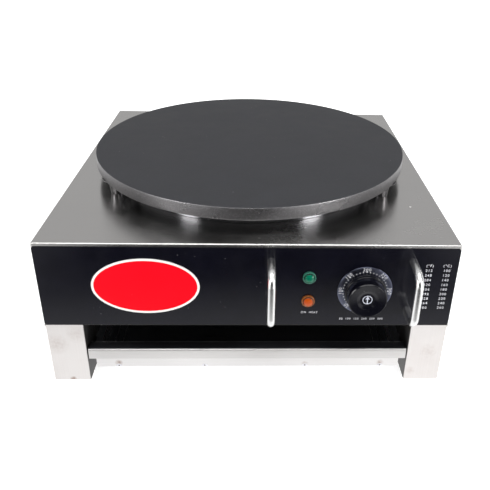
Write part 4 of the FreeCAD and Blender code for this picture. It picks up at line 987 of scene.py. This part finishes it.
@dataclass
class ControlPanel:
    """Everything on the black front: badge, prints, lamps, dial, knob and handles.

    The turns of the dial's numbers and dots are the first one and the step to the next, in degrees.
    A dot's two sizes are its distance from the ring's edge and its radius.
    """

    shop: Workshop
    ink: float = 0.12 * MM
    letter: float = 3.1 * MM
    column_top: float = 158.1 * MM
    column_pitch: float = 6.04 * MM
    fahrenheit_x: float = 192.7 * MM
    celsius_x: float = 212.0 * MM
    header_shift: float = 0.3 * MM
    short_letter: float = 2.4 * MM
    dial_letter: float = 3.6 * MM
    dial_width: float = 10.0 * MM
    number_inset: float = 3.1 * MM
    number_turns: Range = (-135.0, 45.0)
    dot_turns: Range = (-144.0, 9.0)
    dots: int = 28
    large_dot: Range = (5.5 * MM, 0.85 * MM)
    small_dot: Range = (6.0 * MM, 0.62 * MM)
    dish: float = 3.0 * MM
    mark_ring: Range = (4.6 * MM, 5.3 * MM)
    mark_thickness: float = 0.25 * MM
    lamp_core: float = 0.72
    lamp_gap: float = 0.82
    badge_edge: float = 2.5 * MM
    badge_gap: float = 0.3 * MM
    guard_bend: float = 13.0 * MM

    def build(self) -> None:
        """Make every piece of the front."""
        self.face_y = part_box("front_overlay")[0].y
        knob = measured("knob")[2]
        self.knob = Vector((knob.x, self.face_y, knob.z))
        self.make_badge()
        self.make_columns()
        self.make_dial()
        self.make_knob()
        for colour in ("green", "amber"):
            self.make_lamp(colour)
        for side in ("left", "right"):
            self.make_guard(side)

    def front_place(self, spot: Vector, depth: float) -> Vector:
        """Return the place of a flat point in front of the panel."""
        return Vector((spot.x, self.face_y - depth, spot.y))

    @staticmethod
    def oval(centre: Vector, half_width: float, half_height: float, steps: int = 96) -> list[Vector]:
        """Return the outline of an ellipse, seen from the front."""
        return [Vector((centre.x + half_width * flat.x, centre.z + half_height * flat.y, 0.0))
                for flat in circle(1.0, steps)]

    def band(self, bm: Mesh, outer: Sequence[Vector], inner: Sequence[Vector], high: float) -> None:
        """Add a flat band between two outlines.

        Args:
            bm: the mesh that it is added to.
            outer: the band's outer outline.
            inner: its inner one, with as many points.
            high: how far it stands out from the panel.
        """
        edges = ((outer, 0.0), (outer, high), (inner, high), (inner, 0.0))
        rings = [[bm.verts.new(self.front_place(spot, level)) for spot in line] for line, level in edges]
        Workshop.bridge(bm, rings, closed=True)

    def make_badge(self) -> None:
        """Make the plain oval red badge with its white edge."""
        low, high, centre, _ = measured("badge_plate")
        size = (high - low) / 2
        thick = high.y - low.y
        outer = self.oval(centre, size.x, size.z)
        inner = self.oval(centre, size.x - self.badge_edge, size.z - self.badge_edge)
        plate = bmesh.new()
        field = self.oval(centre, size.x - self.badge_gap, size.z - self.badge_gap)
        Workshop.prism(plate, field, self.front_place, thick * 0.7, 0.15 * MM)
        self.shop.piece("badge_plate_red", plate, ["badge_red"], stands_for="badge_plate")
        trim = bmesh.new()
        self.band(trim, outer, inner, thick)
        self.shop.piece("badge_trim", trim, ["badge_white"], "badge_red")

    def make_columns(self) -> None:
        """Print the two columns of plain numbers and the short marks."""
        words = [("(°F)", self.fahrenheit_x + self.header_shift, self.column_top, self.letter, 0.0),
                 ("(°C)", self.celsius_x, self.column_top, self.letter, 0.0)]
        for row in range(9):
            celsius = 100 + 20 * row
            z = self.column_top - (row + 1) * self.column_pitch
            words.append((str(celsius * 9 // 5 + 32), self.fahrenheit_x, z, self.letter, 0.0))
            words.append((str(celsius), self.celsius_x, z, self.letter, 0.0))
        lamp = measured("lamp_lens_amber")[2]
        words.append(("ON  HEAT", lamp.x + 2.0 * MM, lamp.z - 15.7 * MM, self.short_letter, 0.0))
        words.append(("50  100  150  200  250  300", self.knob.x - 1.0 * MM, self.knob.z - 38.0 * MM,
                      self.short_letter, 0.0))
        self.shop.lettering("panel_print", words, self.face_y, self.ink)

    def on_dial(self, turn: float, reach: float, depth: float = 0.0) -> Vector:
        """Return the place at an angle in degrees and a distance round the knob, in front of the panel."""
        angle = math.radians(turn)
        return self.knob + Vector((reach * math.sin(angle), -depth, reach * math.cos(angle)))

    def make_dial(self) -> None:
        """Turn the dial ring and print its numbers and dots."""
        low, high, _, radius = measured("dial_ring")
        thick = high.y - low.y
        hole = radius - self.dial_width
        bm = bmesh.new()
        line = softened([
            (hole, 0.0, 0.0), (radius, 0.0, 0.0), (radius, thick * 0.75, 0.35 * MM),
            (radius - 1.2 * MM, thick, 0.3 * MM), (hole, thick, 0.2 * MM), (hole, 0.0, 0.0),
        ], 4)[:-1]
        self.shop.turn(bm, line, self.knob, Direction.FRONT, 160, closed=True)
        self.shop.piece("dial_ring_spun", bm, ["dial_metal"], stands_for="dial_ring")
        words = []
        for step in range(6):
            turn = self.number_turns[0] + self.number_turns[1] * step
            spot = self.on_dial(turn, radius - self.number_inset)
            words.append((str(50 + 50 * step), spot.x, spot.z, self.dial_letter, turn))
        self.shop.lettering("dial_numbers", words, self.face_y - thick, self.ink)
        dots = bmesh.new()
        for step in range(self.dots):
            turn = self.dot_turns[0] + self.dot_turns[1] * step
            inset, size = self.large_dot if step % 5 == 1 else self.small_dot
            self.shop.turn(dots, [(size, 0.0), (size * 0.9, self.ink), (0.0, self.ink)],
                           self.on_dial(turn, radius - inset, thick), Direction.FRONT, 12)
        self.shop.piece("dial_dots", dots, ["print_white"], "pointer_white")

    def make_knob(self) -> None:
        """Turn the knob with its dished face, and set its white mark in."""
        low, high, _, skirt = measured("knob")
        reach = self.face_y - low.y
        start = self.face_y - high.y
        grip = skirt - 2.0 * MM
        level = reach - self.dish
        bm = bmesh.new()
        line = softened([
            (0.0, level, 0.0), (8.0 * MM, level, 1.5 * MM),
            (11.5 * MM, reach - 1.6 * MM, 3.0 * MM), (grip - 2.2 * MM, reach - 0.25 * MM, 0.8 * MM),
            (grip - 1.2 * MM, reach, 0.6 * MM), (grip, reach - 1.2 * MM, 0.9 * MM),
            (grip, start + 5.0 * MM, 1.2 * MM), (skirt, start + 4.0 * MM, 0.6 * MM),
            (skirt, start, 0.3 * MM), (skirt - 2.0 * MM, start, 0.2 * MM),
            (skirt - 2.5 * MM, start + 3.0 * MM, 0.0), (0.0, start + 3.0 * MM, 0.0),
        ], 6)
        self.shop.turn(bm, line, self.knob, Direction.FRONT, 160)
        self.shop.piece("knob_turned", bm, ["knob_black"], stands_for="knob", body="knob")
        mark = bmesh.new()
        inner, outer = self.mark_ring
        face = level + self.mark_thickness
        ring = [(outer, level), (outer, face), (inner, face), (inner, level)]
        self.shop.turn(mark, ring, self.knob, Direction.FRONT, 64, closed=True)
        arrow = [(-0.55, -4.7), (0.55, -4.7), (0.55, 1.0), (2.4, 0.6), (0.0, 4.7), (-2.4, 0.6),
                 (-0.55, 1.0)]
        outline = [Vector((self.knob.x + x * MM, self.knob.z + z * MM, 0.0)) for x, z in arrow]
        Workshop.prism(mark, outline, lambda spot, depth: self.front_place(spot, level + depth),
                       self.mark_thickness)
        self.shop.piece("knob_mark", mark, ["pointer_white"], stands_for="knob_pointer", body="knob")

    def make_lamp(self, colour: str) -> None:
        """Turn a lamp's clear cap, its lit core, a rim with a painted ring of highlight and its black seat.

        Args:
            colour: green or amber, as in the node's name.
        """
        node = f"lamp_lens_{colour}"
        low, high, centre, radius = measured(node)
        rise = high.y - low.y
        centre.y = high.y
        bm = bmesh.new()
        core = radius * self.lamp_core
        gap = radius * self.lamp_gap
        line = softened([
            (0.0, rise, 0.0), (core * 0.55, rise * 0.97, core * 0.3), (core, rise * 0.70, 0.5 * MM),
            (core, rise * 0.30, 0.0), (gap, rise * 0.30, 0.0), (gap, rise * 0.58, 0.25 * MM),
            (radius, rise * 0.52, 0.4 * MM), (radius, 0.0, 0.0), (0.0, 0.0, 0.0),
        ], 5)
        self.shop.turn(bm, line, centre, Direction.FRONT, 24)
        for face in bm.faces:
            spot = face.calc_center_median() - centre
            away = math.hypot(spot.x, spot.z)
            # outer rim: painted ring of highlight; between rim and core: the black seat
            if away > gap - 0.1 * MM:
                face.material_index = 1
            elif away > core - 0.1 * MM:
                face.material_index = 2
        finishes = [f"lens_{colour}", f"lens_rim_{colour}", "lamp_plastic"]
        self.shop.piece(f"lamp_cap_{colour}", bm, finishes, stands_for=node, smooth=12.0)

    def make_guard(self, side: str) -> None:
        """Sweep a bent rod handle.

        Args:
            side: left or right, as in the node's name.
        """
        node = f"guard_handle_{side}"
        low, high, centre, radius = measured(node)
        x = centre.x
        out = low.y + radius
        path = softened([
            (x, high.y, high.z - radius, 0.0), (x, out, high.z - radius, self.guard_bend),
            (x, out, low.z + radius, self.guard_bend), (x, high.y, low.z + radius, 0.0),
        ], 14)
        bm = bmesh.new()
        Workshop.sweep(bm, path, radius, 32)
        self.shop.piece(f"guard_rod_{side}", bm, ["handle_chrome"], stands_for=node)


@dataclass
class Tray:
    """The folded lip of the slide-out tray, with its spot-weld marks."""

    shop: Workshop
    sheet: float = 1.2 * MM
    depth: float = 15.0 * MM
    bend: float = 2.2 * MM
    weld_radius: float = 3.6 * MM
    weld_rise: float = 0.3 * MM
    weld_places: tuple[float, ...] = (-149.0, -51.0, 65.0, 153.0)

    def build(self) -> None:
        """Make the lip and the welds."""
        low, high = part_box("tray_lip")
        front = low.y
        thick = self.sheet
        rear = front + self.depth
        section = [
            (front, low.z, 0.4 * MM), (front, high.z, self.bend), (rear, high.z, self.bend),
            (rear, high.z - 4.0 * MM, 0.3 * MM), (rear - thick, high.z - 4.0 * MM, 0.3 * MM),
            (rear - thick, high.z - thick, self.bend - thick),
            (front + thick, high.z - thick, self.bend - thick), (front + thick, low.z, 0.4 * MM),
        ]
        outline = softened(section, 5, closed=True)
        bm = bmesh.new()
        ends = [[bm.verts.new((x, spot.x, spot.y)) for spot in outline] for x in (low.x, high.x)]
        Workshop.bridge(bm, ends)
        for end in ends:
            bm.faces.new(end)
        self.shop.piece("tray_lip_folded", bm, ["lip_steel"], "tray_steel", "tray_lip", "tray")
        self.make_welds()

    def make_welds(self) -> None:
        """Put the ground-down spot welds on the pan's front, cut off by its lower edge."""
        low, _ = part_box("tray_pan")
        edge = low.z + 0.25 * MM
        bm = bmesh.new()
        for x in self.weld_places:
            outline = [Vector((x * MM, edge, 0.0)) + flat
                       for flat in circle(self.weld_radius, 17, math.pi * 17 / 16)]
            Workshop.prism(bm, outline, lambda spot, depth: Vector((spot.x, low.y - depth, spot.y)),
                           self.weld_rise, 0.2 * MM)
            seat = Vector((x * MM, low.y - self.weld_rise, edge + self.weld_radius * 0.4))
            pit = [(0.9 * MM, 0.0), (0.7 * MM, 0.1 * MM), (0.0, 0.1 * MM)]
            for face in Workshop.turn(bm, pit, seat, Direction.FRONT, 12):
                face.material_index = 1
        self.shop.piece("tray_welds", bm, ["print_white", "element_metal"], "tray_steel", body="tray")


@dataclass
class Dresser:
    """Gives every CAD node its finish."""

    shelf: Shelf
    # the base pan wears the near-black sheet, which stands for the shade in the tray bay
    special = {"base_pan": "painted_shade_sheet"}

    def dress(self) -> None:
        """Put on each node the finish of its slot, or the special one that it has."""
        for row in frame["record"]["subparts"]:
            thing = frame["nodes"][row["node"]]
            material = self.shelf[self.special.get(row["node"], row["material_slot"])]
            thing.data.materials.clear()
            thing.data.materials.append(material)
            log.info("%s: %s", row["node"], material.name)


@dataclass(frozen=True)
class SoftBox:
    """An area lamp that looks at the object's middle."""

    name: str
    place: Place
    size: Range
    power: float
    target: Place = (0.0, 0.0, 0.12)

    def hang(self) -> None:
        """Add the lamp."""
        light = bpy.data.lights.new(self.name, "AREA")
        light.shape = "RECTANGLE"
        light.size, light.size_y = self.size
        light.energy = self.power
        lamp = linked(self.name, light)
        lamp.location = self.place
        aim = Vector(self.target) - Vector(self.place)
        lamp.rotation_euler = aim.to_track_quat("-Z", "Y").to_euler()


@dataclass
class Studio:
    """Floor, world, lamps and the camera at the photograph's angle."""

    camera_place: Place = (4.478 * MM, -762.922 * MM, 493.930 * MM)
    camera_turn: Place = (63.2726, -1.5921, -1.9962)
    lens: float = 43.863
    shift: Range = (-0.0719, -0.0710)
    fill_level: float = 0.55
    rear_level: float = 0.58
    top_level: float = 0.50
    front_level: float = 0.04
    pane_level: float = 3.6
    rear_from: Range = (-0.25, 0.2)
    side_from: Range = (0.85, 0.98)
    bright_rise: Range = (0.15, 0.85)
    dark_rise: Range = (0.5, 0.9)
    pane_ahead: Range = (-0.50, -0.40)
    pane_rise: tuple[Range, Range] = ((0.64, 0.70), (0.82, 0.88))
    floor_size: float = 6.0
    floor_drop: float = 0.4 * MM
    floor_level: float = 0.98
    floor_lift: float = 0.62
    floor_slope: Range = (-0.3, 0.3)
    floor_gain: float = 1.18
    least_lit: float = 0.03
    lit_beside: Range = (0.25, 0.42)
    lit_behind: Range = (-0.44, -0.33)
    white_from: Range = (0.42, 0.62)
    # soft edges of the painted shadow under the object, across and along
    black_across: Range = (0.208, 0.222)
    black_along: tuple[Range, Range] = ((-0.175, -0.135), (0.17, 0.21))
    lamps: tuple[SoftBox, ...] = (
        SoftBox("softbox_left", (-1.25, -1.05, 0.45), (0.40, 0.80), 8.0),
        SoftBox("softbox_right", (1.25, -1.05, 0.45), (0.40, 0.80), 11.5),
        SoftBox("strip_above", (0.0, -0.45, 1.5), (1.6, 0.40), 9.0),
    )

    def build(self) -> None:
        """Set up everything round the object."""
        bpy.context.scene.view_settings.view_transform = "Standard"
        self.make_world()
        self.make_floor()
        for lamp in self.lamps:
            lamp.hang()
        self.make_camera()

    def make_world(self) -> None:
        """Make a pale world: white to the camera, softer on the object, dark in front for reflections."""
        world = bpy.data.worlds.new("studio")
        bpy.context.scene.world = world
        world.use_nodes = True
        bench = NodeBench(world.node_tree)
        way = bench.add("LightPath").outputs
        heading = bench.add("TexCoord").outputs["Generated"]
        upward = bench.axis(heading, "Z")
        rearward = bench.axis(heading, "Y")
        rear = bench.spread(rearward, *self.rear_from)
        side = bench.spread(bench.maths("ABSOLUTE", bench.axis(heading, "X")), *self.side_from)
        bright = bench.spread(upward, *self.bright_rise, self.rear_level, self.top_level)
        dark = bench.spread(upward, *self.dark_rise, self.front_level, self.top_level)
        ahead = bench.spread(rearward, *self.pane_ahead, 1.0, 0.0)
        pane = bench.times(ahead, bench.between(upward, *self.pane_rise))
        mirrored = bench.plus(bench.blend(bench.maths("MAXIMUM", rear, side), dark, bright),
                              bench.times(pane, self.pane_level))
        level = bench.blend(way["Is Glossy Ray"], self.fill_level, mirrored)
        seen = bench.maths("MAXIMUM", way["Is Camera Ray"], way["Is Transmission Ray"])
        back = bench.tree.nodes["Background"]
        back.inputs["Color"].default_value = (1.0, 1.0, 1.0, 1.0)
        bench.tree.links.new(bench.blend(seen, level, 1.0), back.inputs["Strength"])

    def make_floor(self) -> None:
        """Make a wide white floor with a painted black shadow under the object, dark in front of it for
        reflections.
        """
        bm = bmesh.new()
        bmesh.ops.create_grid(bm, x_segments=1, y_segments=1, size=self.floor_size)
        mesh = bpy.data.meshes.new("floor")
        bm.to_mesh(mesh)
        bm.free()
        floor = linked("floor", mesh)
        floor.location.z = -self.floor_drop
        skin = Surface("floor_white", Roughness=0.9, Specular_IOR_Level=0.1)
        way = skin.add("LightPath").outputs
        across = skin.axis(skin.place, "X")
        along = skin.axis(skin.place, "Y")
        beside = skin.maths("ABSOLUTE", across)
        lit = skin.maths("MAXIMUM", skin.spread(beside, *self.lit_beside),
                         skin.spread(along, *self.lit_behind))
        brighter = self.floor_gain * self.floor_level
        strength = skin.spread(across, *self.floor_slope, self.floor_level, brighter)
        mirrored = skin.times(skin.spread(lit, 0.0, 1.0, self.least_lit), strength)
        plain = skin.spread(skin.vector("LENGTH", skin.place), *self.white_from, self.floor_lift, 1.0)
        lift = skin.plus(skin.times(way["Is Camera Ray"], plain),
                         skin.times(way["Is Glossy Ray"], mirrored))
        # painted shadow: black, unlit floor under the object's footprint, for the deep shade beneath the
        # body
        below = skin.maths("MINIMUM", skin.spread(beside, *self.black_across, 1.0, 0.0),
                           skin.between(along, *self.black_along))
        skin.feed("Emission Strength", skin.times(lift, skin.maths("SUBTRACT", 1.0, below)))
        skin.shader.inputs["Emission Color"].default_value = (1.0, 1.0, 1.0, 1.0)
        dark = skin.maths("MAXIMUM", way["Is Glossy Ray"], below)
        skin.feed("Base Color", skin.mixed(dark, (0.93, 0.93, 0.93), (0.0, 0.0, 0.0)))
        mesh.materials.append(skin.material)

    def make_camera(self) -> None:
        """Place the camera as the photograph's."""
        data = bpy.data.cameras.new("camera")
        data.lens = self.lens
        data.shift_x, data.shift_y = self.shift
        data.clip_start = 10.0 * MM
        camera = linked("camera", data)
        x, y, z = self.camera_place
        camera.location = (x, y + measured("housing")[2].y, z)
        camera.rotation_euler = [math.radians(angle) for angle in self.camera_turn]
        bpy.context.scene.camera = camera


def main() -> None:
    """Build the studio and every sub-assembly."""
    logging.basicConfig(level=logging.INFO, format="%(message)s")
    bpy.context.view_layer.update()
    knob = measured("knob")[2]
    shelf = Shelf(knob)
    shop = Workshop(shelf)
    Dresser(shelf).dress()
    Griddle(shop).build()
    Shell(shop).build()
    ControlPanel(shop).build()
    Tray(shop).build()
    Studio().build()


if __name__ == "__main__":
    main()
